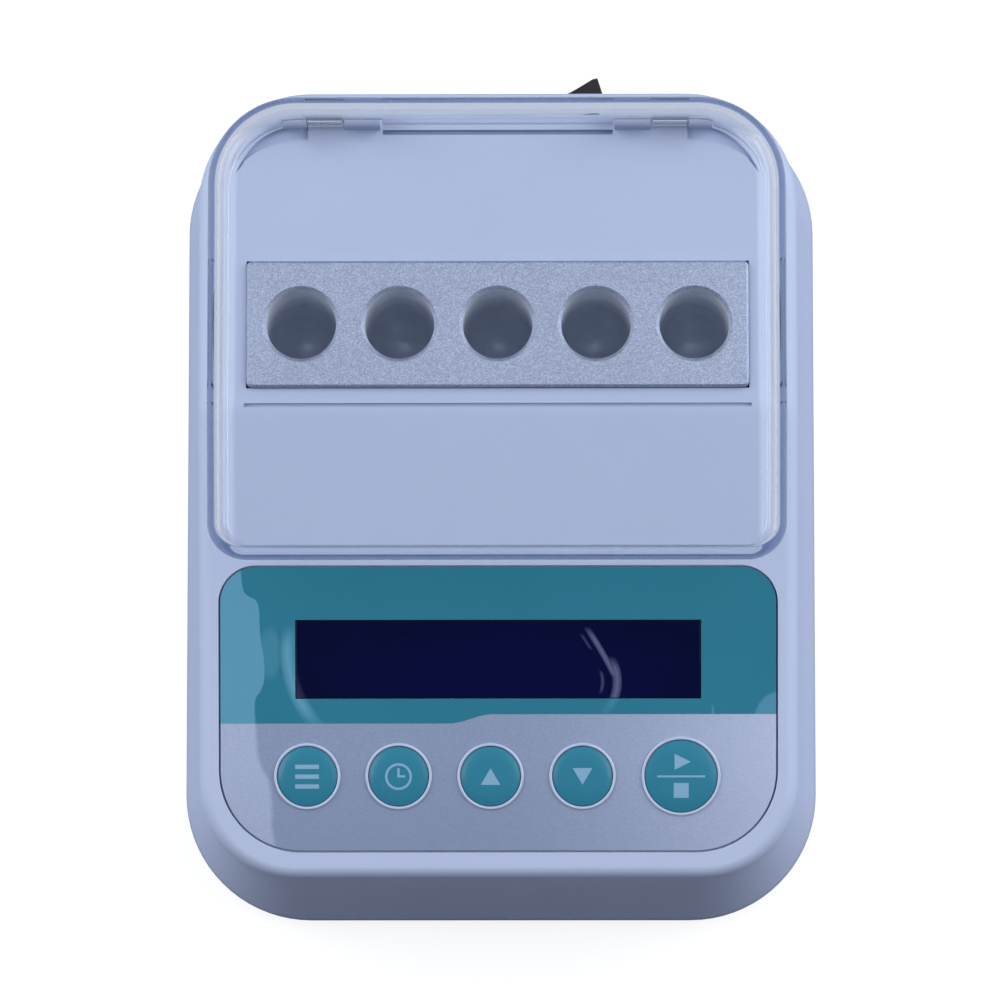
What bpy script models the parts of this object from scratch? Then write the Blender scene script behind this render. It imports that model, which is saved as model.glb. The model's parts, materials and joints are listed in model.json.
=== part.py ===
"""Block incubator for biological indicator vials: casing, clear hinged lid, heated block, control panel."""

import math

import bmesh
import bpy
from mathutils import Matrix, Vector

# Clearances between separate pieces
GAP = 0.0003
RUNNING_GAP = 0.00015
OVERCUT = 0.001

# Casing outline at the foot of its walls, and along the top edge
BASE_DEPTH = 0.142
BASE_FRONT_RADIUS = 0.021
BASE_REAR_RADIUS = 0.024
TOP_SIDE_INSET = 0.0046
TOP_FRONT_INSET = 0.0050
TOP_REAR_INSET = 0.0054
EDGE_RADIUS = 0.0022
WALL = 0.0024

# Heights of the casing
UNDERSIDE_Z = 0.0025
SKIRT_Z = 0.0060
SKIRT_INSET = 0.0025
PARTING_Z = 0.0078
WAIST_Z = 0.024
WAIST_INSET = 0.0037
DECK_Z = 0.058
FLOOR_THICKNESS = 0.0022

# The deck runs level at the rear and slopes down in front of the bend
BEND_BLOCK_GAP = 0.0037
BEND_RADIUS = 0.012
SLOPE = math.radians(9.0)

# Tongue of the tray inside the casing's wall
TONGUE_HEIGHT = 0.0025
TONGUE_THICKNESS = 0.0012

# Clear lid
LID_BLOCK_MARGIN = 0.00345
LID_SIDE_MARGIN = 0.0020
LID_REAR_MARGIN = 0.0031
LID_HEIGHT = 0.020
LID_WALL = 0.0020
LID_FRONT_RADIUS = 0.0070
LID_REAR_RADIUS = 0.0150
LID_SIDE_ROUND = 0.0050
LID_FRONT_ROUND = 0.0015
LID_DRAFT = 0.0004
LID_FRONT_DRAFT = 0.0011

# Lid hinge
HINGE_SET_IN = 0.0010
HINGE_RISE = 0.0033
KNUCKLE_RADIUS = 0.0025
PIN_RADIUS = 0.0010
EAR_CENTRE_X = 0.0288
EAR_WIDTH = 0.0058
INNER_KNUCKLE_WIDTH = 0.0060
OUTER_KNUCKLE_WIDTH = 0.0040
RIB_WIDTH = 0.0010
RIB_HEIGHT = 0.0012
RIB_SET_IN = 0.0022
CORNER_POCKET_DEPTH = 0.0010
CORNER_POCKET_WIDTH = 0.0024
CORNER_POCKET_X = 0.0318

# Heating block and its wells
BLOCK_DEPTH = 0.0213
BLOCK_HEIGHT = 0.036
BLOCK_REAR_MARGIN = 0.0258
BLOCK_PROUD = 0.0010
BLOCK_CHAMFER = 0.0007
WELL_COUNT = 5
WELL_PITCH = 0.0166
WELL_END_MARGIN = 0.00955
WELL_RADIUS = 0.00585
WELL_CHAMFER = 0.00055
WELL_SHOULDER_DEPTH = 0.0235
WELL_TIP_RADIUS = 0.0052
WELL_TIP_DEPTH = 0.0280
WELL_DEPTH = 0.0305

# Heater, carrier and insulation under and around the block
HEATER_THICKNESS = 0.0012
HEATER_MARGIN = 0.0025
CARRIER_FLOOR = 0.0030
CARRIER_WALL = 0.0020
CARRIER_GRIP = 0.0070
SLEEVE_WALL = 0.0030
SLEEVE_TOP_CLEARANCE = 0.0035
PROBE_RADIUS = 0.0012
PROBE_LENGTH = 0.0100
PROBE_INSERTION = 0.0055

# Control panel, in the plane of the slope
PANEL_LENGTH = 0.0476
PANEL_SIDE_MARGIN = 0.0037
PANEL_FRONT_MARGIN = 0.00485
PANEL_LID_GAP = 0.0011
PANEL_REAR_RADIUS = 0.0060
PANEL_FRONT_RADIUS = 0.0134
PANEL_THICKNESS = 0.00055
PANEL_RECESS = 0.0009
WINDOW_WIDTH = 0.0679
WINDOW_HEIGHT = 0.0132
WINDOW_MARGIN = 0.0155
WINDOW_FLANGE = 0.0020
WINDOW_FLANGE_THICKNESS = 0.0008

# Keys
KEY_MARGIN = 0.0125
KEY_X = (-0.0320, -0.0167, -0.0013, 0.0141)
START_KEY_X = 0.0306
KEY_RADIUS = 0.0050
START_KEY_RADIUS = 0.00605
KEY_PROUD = 0.0005
KEY_FLANGE = 0.0011
KEY_FLANGE_THICKNESS = 0.0008
KEY_STEM_RADIUS = 0.0020
KEY_ROOM = 0.0009
KEY_NAMES = ("menu", "timer", "up", "down")

# Control board and what it carries
CONTROL_BOARD_DEPTH = 0.0090
CONTROL_BOARD_SIDE_INSET = 0.0065
CONTROL_BOARD_FRONT_INSET = 0.0048
CONTROL_BOARD_REAR_REACH = 0.0007
BOARD_THICKNESS = 0.0016
SWITCH_SIDE = 0.0060
SWITCH_HEIGHT = 0.0028
PLUNGER_RADIUS = 0.0017
PLUNGER_INSERTION = 0.0011
SWITCH_WELL_DEPTH = 0.0020
BEZEL_MARGIN = 0.0027
BEZEL_WALL = 0.0010
REAR_SCREW_INSET = 0.0027
FRONT_SCREW_INSET = 0.0020
BOARD_BOSS_RADIUS = 0.0024

# Screws
SCREW_RADIUS = 0.0014
SCREW_HEAD_RADIUS = 0.0028
SCREW_HEAD_HEIGHT = 0.0018
CASE_SCREW_LENGTH = 0.0150
SMALL_SCREW_RADIUS = 0.0010
SMALL_SCREW_HEAD_RADIUS = 0.0020
SMALL_SCREW_HEAD_HEIGHT = 0.0014
SMALL_SCREW_LENGTH = 0.0055
BOSS_RADIUS = 0.0036
BOSS_MEET_Z = 0.014
CASE_SCREW_SIDE_INSET = 0.0093
CASE_SCREW_END_INSET = 0.0220
CASE_SCREW_SEAT_Z = 0.0080
BLOCK_SCREW_GRIP = 0.0065

# Feet
FOOT_RADIUS = 0.0050
FOOT_RECESS = 0.0008
FOOT_SIDE_INSET = 0.0188
FOOT_END_INSET = 0.0155

# Power board in the tray
POWER_BOARD_WIDTH = 0.070
POWER_BOARD_LENGTH = 0.046
POWER_BOARD_FRONT_MARGIN = 0.0200
STANDOFF_HEIGHT = 0.0050
STANDOFF_RADIUS = 0.0028
STANDOFF_INSET = 0.0045
CAPACITOR_RADIUS = 0.0040
CAPACITOR_HEIGHT = 0.0120
BUZZER_RADIUS = 0.0060
BUZZER_HEIGHT = 0.0070
HEAT_SINK_WIDTH = 0.0180
HEAT_SINK_HEIGHT = 0.0130
HEAT_SINK_FINS = 5

# Rear wall fittings: rocker switch and DC inlet
REAR_FITTING_Z = 0.0410
SWITCH_X = 0.0123
ROCKER_TILT = math.radians(12.0)
ROCKER_END_CLEARANCE = 0.0008
ROCKER_PIVOT_DEPTH = 0.0010
SWITCH_BODY_LENGTH = 0.0140
SWITCH_BODY_HEIGHT = 0.0092
SWITCH_BODY_DEPTH = 0.0120
SWITCH_POCKET_DEPTH = 0.0060
SWITCH_FLANGE = 0.0010
SWITCH_FLANGE_THICKNESS = 0.0017
SWITCH_SIDE_WALL = 0.0007
TRUNNION_RADIUS = 0.0007
JACK_X = -0.0180
JACK_RADIUS = 0.0045
JACK_FLANGE = 0.0017
JACK_WALL = 0.0013
JACK_LENGTH = 0.0120
JACK_BORE_DEPTH = 0.0090
JACK_PIN_RADIUS = 0.0010
JACK_NUT_RING = 0.0025
JACK_NUT_THICKNESS = 0.0024

# Leads
LEAD_RADIUS = 0.0010
LEAD_EXIT = 0.0030
LEAD_EXIT_DROP = 0.0010
LEAD_REAR_BOW = 0.0040
LEAD_BOW_Z = 0.0240
LEAD_TURN_Z = 0.0120
LEAD_ASIDE = 0.0020
LEAD_BOARD_RUN = 0.0080
LEAD_BOARD_RISE = 0.0020
RIBBON_WIDTH = 0.0120
RIBBON_THICKNESS = 0.0009
RIBBON_OFFSET = 0.0080
RIBBON_BOW = 0.0060

# Facets
CORNER_STEPS = 7
ROUND_STEPS = 24
SMALL_STEPS = 12
EDGE_STEPS = 3
LID_STEPS = 4

# Sizes that follow from those above
BLOCK_WIDTH = (WELL_COUNT - 1) * WELL_PITCH + 2 * WELL_END_MARGIN
LID_HALF_WIDTH = BLOCK_WIDTH / 2 + LID_BLOCK_MARGIN + LID_WALL
BASE_HALF_WIDTH = LID_HALF_WIDTH + LID_SIDE_MARGIN + TOP_SIDE_INSET
BASE_FRONT_Y = -BASE_DEPTH / 2
BASE_REAR_Y = BASE_DEPTH / 2
LID_REAR_Y = BASE_REAR_Y - TOP_REAR_INSET - LID_REAR_MARGIN
BLOCK_Y = LID_REAR_Y - BLOCK_REAR_MARGIN - BLOCK_DEPTH / 2
BEND_Y = BLOCK_Y - BLOCK_DEPTH / 2 - BEND_BLOCK_GAP
PANEL_REAR_Y = BASE_FRONT_Y + TOP_FRONT_INSET + (PANEL_FRONT_MARGIN + PANEL_LENGTH) * math.cos(SLOPE)
LID_FRONT_Y = PANEL_REAR_Y + PANEL_LID_GAP
FLOOR_Z = UNDERSIDE_Z + FLOOR_THICKNESS
BEND_TANGENT = BEND_RADIUS * math.tan(SLOPE / 2)
BEND_HALF_ARC = BEND_RADIUS * SLOPE / 2
HINGE_Y = LID_REAR_Y - HINGE_SET_IN
HINGE_Z = DECK_Z + HINGE_RISE
BLOCK_TOP_Z = DECK_Z + BLOCK_PROUD
BLOCK_BOTTOM_Z = BLOCK_TOP_Z - BLOCK_HEIGHT
HEATER_TOP_Z = BLOCK_BOTTOM_Z - GAP
CARRIER_FLOOR_Z = HEATER_TOP_Z - HEATER_THICKNESS - GAP
CARRIER_BOTTOM_Z = CARRIER_FLOOR_Z - CARRIER_FLOOR
CARRIER_TOP_Z = BLOCK_BOTTOM_Z + CARRIER_GRIP
SLEEVE_RISE = 2 * (PROBE_RADIUS + GAP)
BLOCK_SCREW_X = 1.5 * WELL_PITCH
PANEL_WIDTH = 2 * (BASE_HALF_WIDTH - TOP_SIDE_INSET - PANEL_SIDE_MARGIN)
PANEL_OFFSET = PANEL_LENGTH / 2
WINDOW_OFFSET = PANEL_OFFSET - WINDOW_MARGIN
KEY_OFFSET = KEY_MARGIN - PANEL_OFFSET
CONTROL_BOARD_WIDTH = PANEL_WIDTH - 2 * CONTROL_BOARD_SIDE_INSET
CONTROL_BOARD_FRONT = CONTROL_BOARD_FRONT_INSET - PANEL_OFFSET
CONTROL_BOARD_REAR = CONTROL_BOARD_REAR_REACH + PANEL_OFFSET
SWITCH_TOP = GAP + SWITCH_HEIGHT - CONTROL_BOARD_DEPTH
KEY_BOTTOM = SWITCH_TOP + KEY_ROOM
ROCKER_HALF_LENGTH = SWITCH_BODY_LENGTH / 2 - SWITCH_SIDE_WALL - ROCKER_END_CLEARANCE
ROCKER_THICKNESS = SWITCH_BODY_HEIGHT - 2 * (SWITCH_SIDE_WALL + GAP)
JACK_FLANGE_RADIUS = JACK_RADIUS + JACK_FLANGE
JACK_BORE_RADIUS = JACK_RADIUS - JACK_WALL
JACK_NUT_RADIUS = JACK_RADIUS + JACK_NUT_RING
POWER_BOARD_Y = BASE_FRONT_Y + POWER_BOARD_FRONT_MARGIN + POWER_BOARD_LENGTH / 2
POWER_BOARD_Z = FLOOR_Z + STANDOFF_HEIGHT + GAP
POWER_BOARD_TOP = POWER_BOARD_Z + BOARD_THICKNESS

MATERIALS = {
    "casing_white": ((0.80, 0.82, 0.88, 1.0), 0.42, 0.0),
    "tray_white": ((0.76, 0.78, 0.84, 1.0), 0.50, 0.0),
    "clear_plastic": ((0.86, 0.90, 0.96, 0.35), 0.05, 0.0),
    "sandblasted_aluminium": ((0.66, 0.68, 0.72, 1.0), 0.45, 1.0),
    "steel": ((0.62, 0.63, 0.65, 1.0), 0.28, 1.0),
    "overlay_film": ((0.05, 0.36, 0.42, 1.0), 0.35, 0.0),
    "key_teal": ((0.04, 0.40, 0.44, 1.0), 0.35, 0.0),
    "window_navy": ((0.012, 0.014, 0.05, 1.0), 0.08, 0.0),
    "black_plastic": ((0.02, 0.02, 0.025, 1.0), 0.40, 0.0),
    "rubber_black": ((0.03, 0.03, 0.03, 1.0), 0.85, 0.0),
    "board_green": ((0.03, 0.22, 0.10, 1.0), 0.45, 0.0),
    "heater_orange": ((0.62, 0.22, 0.06, 1.0), 0.60, 0.0),
    "foam_grey": ((0.45, 0.46, 0.48, 1.0), 0.90, 0.0),
    "carrier_plastic": ((0.10, 0.10, 0.11, 1.0), 0.55, 0.0),
    "lead_red": ((0.55, 0.05, 0.04, 1.0), 0.50, 0.0),
    "ribbon_grey": ((0.55, 0.56, 0.58, 1.0), 0.50, 0.0),
    "nickel": ((0.70, 0.69, 0.66, 1.0), 0.30, 1.0),
}


def clear_scene():
    for item in list(bpy.data.objects):
        bpy.data.objects.remove(item, do_unlink=True)


def make_collection(name):
    group = bpy.data.collections.new(name)
    bpy.context.scene.collection.children.link(group)
    return group


def make_material(name):
    colour, roughness, metallic = MATERIALS[name]
    material = bpy.data.materials.new(name)
    material.use_nodes = True
    shader = material.node_tree.nodes["Principled BSDF"]
    shader.inputs["Base Color"].default_value = colour
    shader.inputs["Roughness"].default_value = roughness
    shader.inputs["Metallic"].default_value = metallic
    material.diffuse_color = colour
    return material


class Workshop:
    """Collections, materials and frames that the pieces share."""

    def __init__(self):
        self.parts = make_collection("biological_indicator_incubator")
        self.cutters = make_collection("cutters")
        self.materials = {name: make_material(name) for name in MATERIALS}
        self.panel = self.frame("panel_frame", panel_origin(), SLOPE)
        self.rear = self.frame("rear_frame", rear_origin(), rear_lean())

    def frame(self, name, place, tilt):
        empty = bpy.data.objects.new(name, None)
        empty.location = place
        empty.rotation_euler = (tilt, 0.0, 0.0)
        empty.empty_display_size = 0.01
        self.parts.objects.link(empty)
        return empty

    def add(self, name, mesh, material, place=(0, 0, 0), turn=(0, 0, 0), parent=None):
        piece = bpy.data.objects.new(name, mesh)
        piece.location = place
        piece.rotation_euler = turn
        piece.parent = parent
        if not mesh.materials:
            mesh.materials.append(self.materials[material])
        self.parts.objects.link(piece)
        return piece

    def cutter(self, name, mesh, place=(0, 0, 0), turn=(0, 0, 0), parent=None):
        tool = bpy.data.objects.new(name, mesh)
        tool.location = place
        tool.rotation_euler = turn
        tool.parent = parent
        tool.hide_render = True
        tool.display_type = "WIRE"
        self.cutters.objects.link(tool)
        return tool


def to_mesh(name, bm, smooth=35.0):
    bmesh.ops.recalc_face_normals(bm, faces=bm.faces)
    mesh = bpy.data.meshes.new(name)
    bm.to_mesh(mesh)
    bm.free()
    mesh.shade_smooth()
    mesh.set_sharp_from_angle(angle=math.radians(smooth))
    return mesh


def add_box(bm, size, centre=(0, 0, 0)):
    place = Matrix.Translation(centre) @ Matrix.Diagonal((*size, 1.0))
    bmesh.ops.create_cube(bm, size=1.0, matrix=place)


def add_cylinder(bm, radius, low, high, centre=(0, 0), steps=ROUND_STEPS):
    place = Matrix.Translation((centre[0], centre[1], (low + high) / 2))
    bmesh.ops.create_cone(bm, cap_ends=True, segments=steps, radius1=radius, radius2=radius,
                          depth=high - low, matrix=place)


def box_mesh(name, size, centre=(0, 0, 0)):
    bm = bmesh.new()
    add_box(bm, size, centre)
    return to_mesh(name, bm)


def span_box(bm, low, high):
    size = [b - a for a, b in zip(low, high)]
    centre = [(a + b) / 2 for a, b in zip(low, high)]
    add_box(bm, size, centre)


def cylinder_mesh(name, radius, low, high, centre=(0, 0), steps=ROUND_STEPS):
    bm = bmesh.new()
    add_cylinder(bm, radius, low, high, centre, steps)
    return to_mesh(name, bm)


def turned_mesh(name, profile, steps=ROUND_STEPS):
    """Spin a profile of (radius, height) points, top to bottom, about Z into a closed solid."""
    bm = bmesh.new()
    add_turned(bm, profile, steps)
    return to_mesh(name, bm)


def add_turned(bm, profile, steps=ROUND_STEPS, centre=(0, 0)):
    points = [bm.verts.new((centre[0] + radius, centre[1], height)) for radius, height in profile]
    edges = [bm.edges.new(pair) for pair in zip(points, points[1:])]
    bmesh.ops.spin(bm, geom=points + edges, cent=(centre[0], centre[1], 0), axis=(0, 0, 1),
                   angle=math.tau, steps=steps, use_merge=True)
    bmesh.ops.remove_doubles(bm, verts=bm.verts, dist=1e-6)


def prism_mesh(name, outline, low, high):
    """Extrude an outline of (x, y) points from low to high along Z."""
    bm = bmesh.new()
    add_prism(bm, outline, low, high)
    return to_mesh(name, bm)


def add_prism(bm, outline, low, high):
    face = bm.faces.new([bm.verts.new((x, y, low)) for x, y in outline])
    grown = bmesh.ops.extrude_face_region(bm, geom=[face])
    top = [item for item in grown["geom"] if isinstance(item, bmesh.types.BMVert)]
    bmesh.ops.translate(bm, vec=(0, 0, high - low), verts=top)


def boolean(piece, tool, operation):
    modifier = piece.modifiers.new(tool.name, "BOOLEAN")
    modifier.operation = operation
    modifier.solver = "EXACT"
    modifier.object = tool


def rounded_rectangle(width, height, low_radius, high_radius, steps=CORNER_STEPS):
    """Outline with one radius on the corners at -Y and another on those at +Y, starting at lower right."""
    half = half_outline(width / 2, -height / 2, height / 2, (low_radius, low_radius), high_radius, (), steps)
    return [(x, y) for x, y, _ in mirrored(half)]


def half_outline(half_width, front, rear, front_radii, rear_radius, side_places, steps=CORNER_STEPS):
    """Right half of a rounded outline, front to rear, as (x, y, share of the way round the front corner)."""
    across, along = front_radii
    points = []
    for step in range(steps + 1):
        turn = math.pi / 2 * step / steps
        x = half_width - across + across * math.sin(turn)
        y = front + along - along * math.cos(turn)
        points.append((x, y, math.sin(turn) ** 2))
    for place in side_places:
        points.append((half_width, place, 1.0))
    for step in range(steps + 1):
        turn = math.pi / 2 * step / steps
        x = half_width - rear_radius + rear_radius * math.cos(turn)
        y = rear - rear_radius + rear_radius * math.sin(turn)
        points.append((x, y, 1.0))
    return points


def mirrored(half):
    return half + [(-point[0], *point[1:]) for point in reversed(half)]


def skin_mesh(name, rings, smooth=35.0):
    """Close a stack of rings, each a full mirrored outline of (x, y, z), with strips across both ends."""
    bm = bmesh.new()
    stack = [[bm.verts.new(point) for point in ring] for ring in rings]
    count = len(rings[0])
    for lower, upper in zip(stack, stack[1:]):
        for here in range(count):
            after = (here + 1) % count
            bm.faces.new((lower[here], lower[after], upper[after], upper[here]))
    for ring in (stack[0], stack[-1]):
        for here in range(count // 2 - 1):
            bm.faces.new((ring[here], ring[here + 1], ring[-here - 2], ring[-here - 1]))
    return to_mesh(name, bm, smooth)


def deck_point(x, run, rise=0.0):
    """Point over the deck: run goes rearward along its surface from the bend, rise stands square to it."""
    if run >= BEND_HALF_ARC:
        tilt = 0.0
        y = BEND_Y + BEND_TANGENT + run - BEND_HALF_ARC
        z = DECK_Z
    else:
        tilt = min((BEND_HALF_ARC - run) / BEND_RADIUS, SLOPE)
        y = BEND_Y + BEND_TANGENT - BEND_RADIUS * math.sin(tilt)
        z = DECK_Z - BEND_RADIUS * (1 - math.cos(tilt))
        beyond = min(run + BEND_HALF_ARC, 0.0)
        y += beyond * math.cos(SLOPE)
        z += beyond * math.sin(SLOPE)
    return (x, y - rise * math.sin(tilt), z + rise * math.cos(tilt))


def deck_run(y):
    """Distance along the deck, from the bend, of the place at y."""
    if y >= BEND_Y:
        return y - BEND_Y - BEND_TANGENT + BEND_HALF_ARC
    arc_end = BEND_Y + BEND_TANGENT - BEND_RADIUS * math.sin(SLOPE)
    return (y - arc_end) / math.cos(SLOPE) - BEND_HALF_ARC


BEND_RUNS = (-BEND_HALF_ARC, 0.0, BEND_HALF_ARC)


def panel_origin():
    return deck_point(0.0, deck_run(PANEL_REAR_Y) - PANEL_OFFSET)


def base_outline(inset):
    """Plan of the walls' foot, moved in by inset."""
    side_places = [deck_point(0, run)[1] for run in BEND_RUNS]
    half = half_outline(BASE_HALF_WIDTH - inset, BASE_FRONT_Y + inset, BASE_REAR_Y - inset,
                        (BASE_FRONT_RADIUS - inset, BASE_FRONT_RADIUS - inset),
                        BASE_REAR_RADIUS - inset, side_places)
    return [(x, y) for x, y, _ in mirrored(half)]


def top_ring(inset, drop):
    """Ring on the deck, moved in by inset from its outer edge and down by drop."""
    front = deck_run(BASE_FRONT_Y + TOP_FRONT_INSET)
    rear = deck_run(BASE_REAR_Y - TOP_REAR_INSET)
    front_radius = BASE_FRONT_RADIUS - TOP_FRONT_INSET - inset
    rear_radius = BASE_REAR_RADIUS - TOP_REAR_INSET - inset
    half = half_outline(BASE_HALF_WIDTH - TOP_SIDE_INSET - inset, front + inset, rear - inset,
                        (front_radius, front_radius), rear_radius, BEND_RUNS)
    return [deck_point(x, run, -drop) for x, run, _ in mirrored(half)]


def skirt_wall_ring(height, inset):
    """Ring on the flared part of the walls, between their foot and the waist."""
    share = (height - SKIRT_Z) / (WAIST_Z - SKIRT_Z)
    return flat_ring(height, inset + WAIST_INSET * share)


def flat_ring(height, inset):
    return [(x, y, height) for x, y in base_outline(inset)]


def rear_lean():
    """How far the rear wall leans forward above the waist, from upright."""
    return math.atan2(TOP_REAR_INSET - WAIST_INSET, DECK_Z - EDGE_RADIUS - WAIST_Z)


def rear_origin():
    rise = REAR_FITTING_Z - WAIST_Z
    return (0.0, BASE_REAR_Y - WAIST_INSET - rise * math.tan(rear_lean()), REAR_FITTING_Z)


def edge_rings():
    """Rings that round the deck's edge, from its wall to its top."""
    rings = []
    for step in range(EDGE_STEPS + 1):
        turn = math.pi / 2 * step / EDGE_STEPS
        rings.append(top_ring(EDGE_RADIUS * (1 - math.cos(turn)), EDGE_RADIUS * (1 - math.sin(turn))))
    return rings


def case_screw_places():
    x = BASE_HALF_WIDTH - CASE_SCREW_SIDE_INSET
    ends = (BASE_FRONT_Y + CASE_SCREW_END_INSET, BASE_REAR_Y - CASE_SCREW_END_INSET)
    return [(side * x, y) for side in (-1, 1) for y in ends]


def board_boss_places():
    """A rear pair at the control board's corners and a front pair between the keys."""
    rear_x = CONTROL_BOARD_WIDTH / 2 - REAR_SCREW_INSET
    rear = [(side * rear_x, CONTROL_BOARD_REAR - REAR_SCREW_INSET) for side in (-1, 1)]
    front_x = ((KEY_X[0] + KEY_X[1]) / 2, (KEY_X[-1] + START_KEY_X) / 2)
    return rear + [(x, CONTROL_BOARD_FRONT + FRONT_SCREW_INSET) for x in front_x]


def key_places():
    places = [(name, x, KEY_RADIUS) for name, x in zip(KEY_NAMES, KEY_X)]
    return places + [("start", START_KEY_X, START_KEY_RADIUS)]


def make_upper_casing(shop):
    outer = [skirt_wall_ring(PARTING_Z, 0.0), skirt_wall_ring(WAIST_Z, 0.0)]
    outer += edge_rings()
    casing = shop.add("upper_casing", skin_mesh("upper_casing", outer), "casing_white")
    inner = [skirt_wall_ring(PARTING_Z - OVERCUT, WALL), skirt_wall_ring(WAIST_Z, WALL),
             top_ring(WALL, WALL + EDGE_RADIUS), top_ring(WALL + OVERCUT, WALL)]
    boolean(casing, shop.cutter("casing_hollow", skin_mesh("casing_hollow", inner)), "DIFFERENCE")
    boolean(casing, casing_bosses(shop), "UNION")
    boolean(casing, panel_bosses(shop), "UNION")
    boolean(casing, hinge_knuckles(shop), "UNION")
    boolean(casing, casing_cuts(shop), "DIFFERENCE")
    boolean(casing, panel_cuts(shop), "DIFFERENCE")
    boolean(casing, panel_holes(shop), "DIFFERENCE")
    boolean(casing, rear_cuts(shop), "DIFFERENCE")


def deck_height(y):
    return deck_point(0, deck_run(y))[2]


def casing_bosses(shop):
    """Screw bosses that hang from the deck at the casing's corners."""
    bm = bmesh.new()
    for x, y in case_screw_places():
        add_cylinder(bm, BOSS_RADIUS, BOSS_MEET_Z, deck_height(y - BOSS_RADIUS) - WALL / 2, (x, y))
    return shop.cutter("casing_bosses", to_mesh("casing_bosses", bm))


def panel_bosses(shop):
    """Bosses under the slope that carry the control board."""
    bm = bmesh.new()
    for x, y in board_boss_places():
        add_cylinder(bm, BOARD_BOSS_RADIUS, GAP - CONTROL_BOARD_DEPTH, -WALL / 2, (x, y), SMALL_STEPS)
    return shop.cutter("panel_bosses", to_mesh("panel_bosses", bm), parent=shop.panel)


def knuckle_spans():
    """Stretches of the hinge line that the casing's knuckles take, for the +X ear."""
    inner = EAR_CENTRE_X - EAR_WIDTH / 2 - GAP
    outer = EAR_CENTRE_X + EAR_WIDTH / 2 + GAP
    return (inner - INNER_KNUCKLE_WIDTH, inner), (outer, outer + OUTER_KNUCKLE_WIDTH)


def add_cross_cylinder(bm, radius, low, high, y, z, steps=ROUND_STEPS):
    """Cylinder along X."""
    place = Matrix.Translation(((low + high) / 2, y, z)) @ Matrix.Rotation(math.pi / 2, 4, "Y")
    bmesh.ops.create_cone(bm, cap_ends=True, segments=steps, radius1=radius, radius2=radius,
                          depth=high - low, matrix=place)


def hinge_knuckles(shop):
    """Knuckles on the deck beside the lid's ears, each a round head on a foot that sinks into the deck."""
    outline = [(HINGE_Y - KNUCKLE_RADIUS, DECK_Z - WALL / 2)]
    for step in range(ROUND_STEPS // 2 + 1):
        turn = math.pi - math.pi * step / (ROUND_STEPS // 2)
        outline.append((HINGE_Y + KNUCKLE_RADIUS * math.cos(turn), HINGE_Z + KNUCKLE_RADIUS * math.sin(turn)))
    outline.append((HINGE_Y + KNUCKLE_RADIUS, DECK_Z - WALL / 2))
    bm = bmesh.new()
    for side in (-1, 1):
        for low, high in knuckle_spans():
            add_cross_prism(bm, outline, *sorted((side * low, side * high)))
    half = knuckle_spans()[0][0] - GAP
    rib_y = LID_REAR_Y - LID_WALL - RIB_SET_IN
    span_box(bm, (-half, rib_y - RIB_WIDTH, DECK_Z - WALL / 2), (half, rib_y, DECK_Z + RIB_HEIGHT))
    return shop.cutter("hinge_knuckles", to_mesh("hinge_knuckles", bm))


def add_cross_prism(bm, outline, low, high):
    """Extrude an outline of (y, z) points along X."""
    face = bm.faces.new([bm.verts.new((low, y, z)) for y, z in outline])
    grown = bmesh.ops.extrude_face_region(bm, geom=[face])
    moved = [item for item in grown["geom"] if isinstance(item, bmesh.types.BMVert)]
    bmesh.ops.translate(bm, vec=(high - low, 0, 0), verts=moved)


def pin_span():
    (low, _), (_, high) = knuckle_spans()
    return low + GAP + PIN_RADIUS, high - GAP


def casing_cuts(shop):
    """Block opening, screw pilots, hinge bores and the shallow pockets at the deck's rear corners."""
    bm = bmesh.new()
    add_box(bm, (BLOCK_WIDTH + 2 * GAP, BLOCK_DEPTH + 2 * GAP, 4 * WALL), (0, BLOCK_Y, DECK_Z))
    for x, y in case_screw_places():
        top = CASE_SCREW_SEAT_Z + CASE_SCREW_LENGTH + GAP
        add_cylinder(bm, SCREW_RADIUS + GAP, BOSS_MEET_Z - OVERCUT, top, (x, y), SMALL_STEPS)
    low, high = pin_span()
    for side in (-1, 1):
        ends = sorted((side * (low - GAP), side * (high + 2 * OVERCUT)))
        add_cross_cylinder(bm, PIN_RADIUS + RUNNING_GAP, *ends, HINGE_Y, HINGE_Z, SMALL_STEPS)
        add_corner_pocket(bm, side)
    return shop.cutter("casing_cuts", to_mesh("casing_cuts", bm))


def add_corner_pocket(bm, side):
    """Crescent inside the lid's rear corner, from the knuckles round to the side."""
    reach = LID_HALF_WIDTH - LID_WALL - LID_DRAFT - GAP
    back = LID_REAR_Y - LID_WALL - LID_DRAFT - GAP
    outer_radius = LID_REAR_RADIUS - LID_WALL
    outer = []
    inner = []
    for step in range(CORNER_STEPS + 1):
        turn = math.pi / 2 * (1 - step / CORNER_STEPS * 0.75)
        along = math.cos(turn)
        up = math.sin(turn)
        outer.append((reach - outer_radius + outer_radius * along, back - outer_radius + outer_radius * up))
        width = CORNER_POCKET_WIDTH * (1 - (step / CORNER_STEPS) ** 2)
        inner.append((reach - outer_radius + (outer_radius - width) * along,
                      back - outer_radius + (outer_radius - width) * up))
    outline = [(CORNER_POCKET_X, back)] + outer + list(reversed(inner[:-1]))
    outline.append((CORNER_POCKET_X, back - CORNER_POCKET_WIDTH))
    outline = [(side * x, y) for x, y in outline]
    add_prism(bm, outline, DECK_Z - CORNER_POCKET_DEPTH, DECK_Z + OVERCUT)


def panel_cuts(shop):
    """Recess that the overlay lies in."""
    outline = rounded_rectangle(PANEL_WIDTH + 2 * GAP, PANEL_LENGTH + 2 * GAP,
                                PANEL_FRONT_RADIUS + GAP, PANEL_REAR_RADIUS + GAP)
    mesh = prism_mesh("panel_recess", outline, -PANEL_RECESS, OVERCUT)
    return shop.cutter("panel_recess", mesh, parent=shop.panel)


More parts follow.
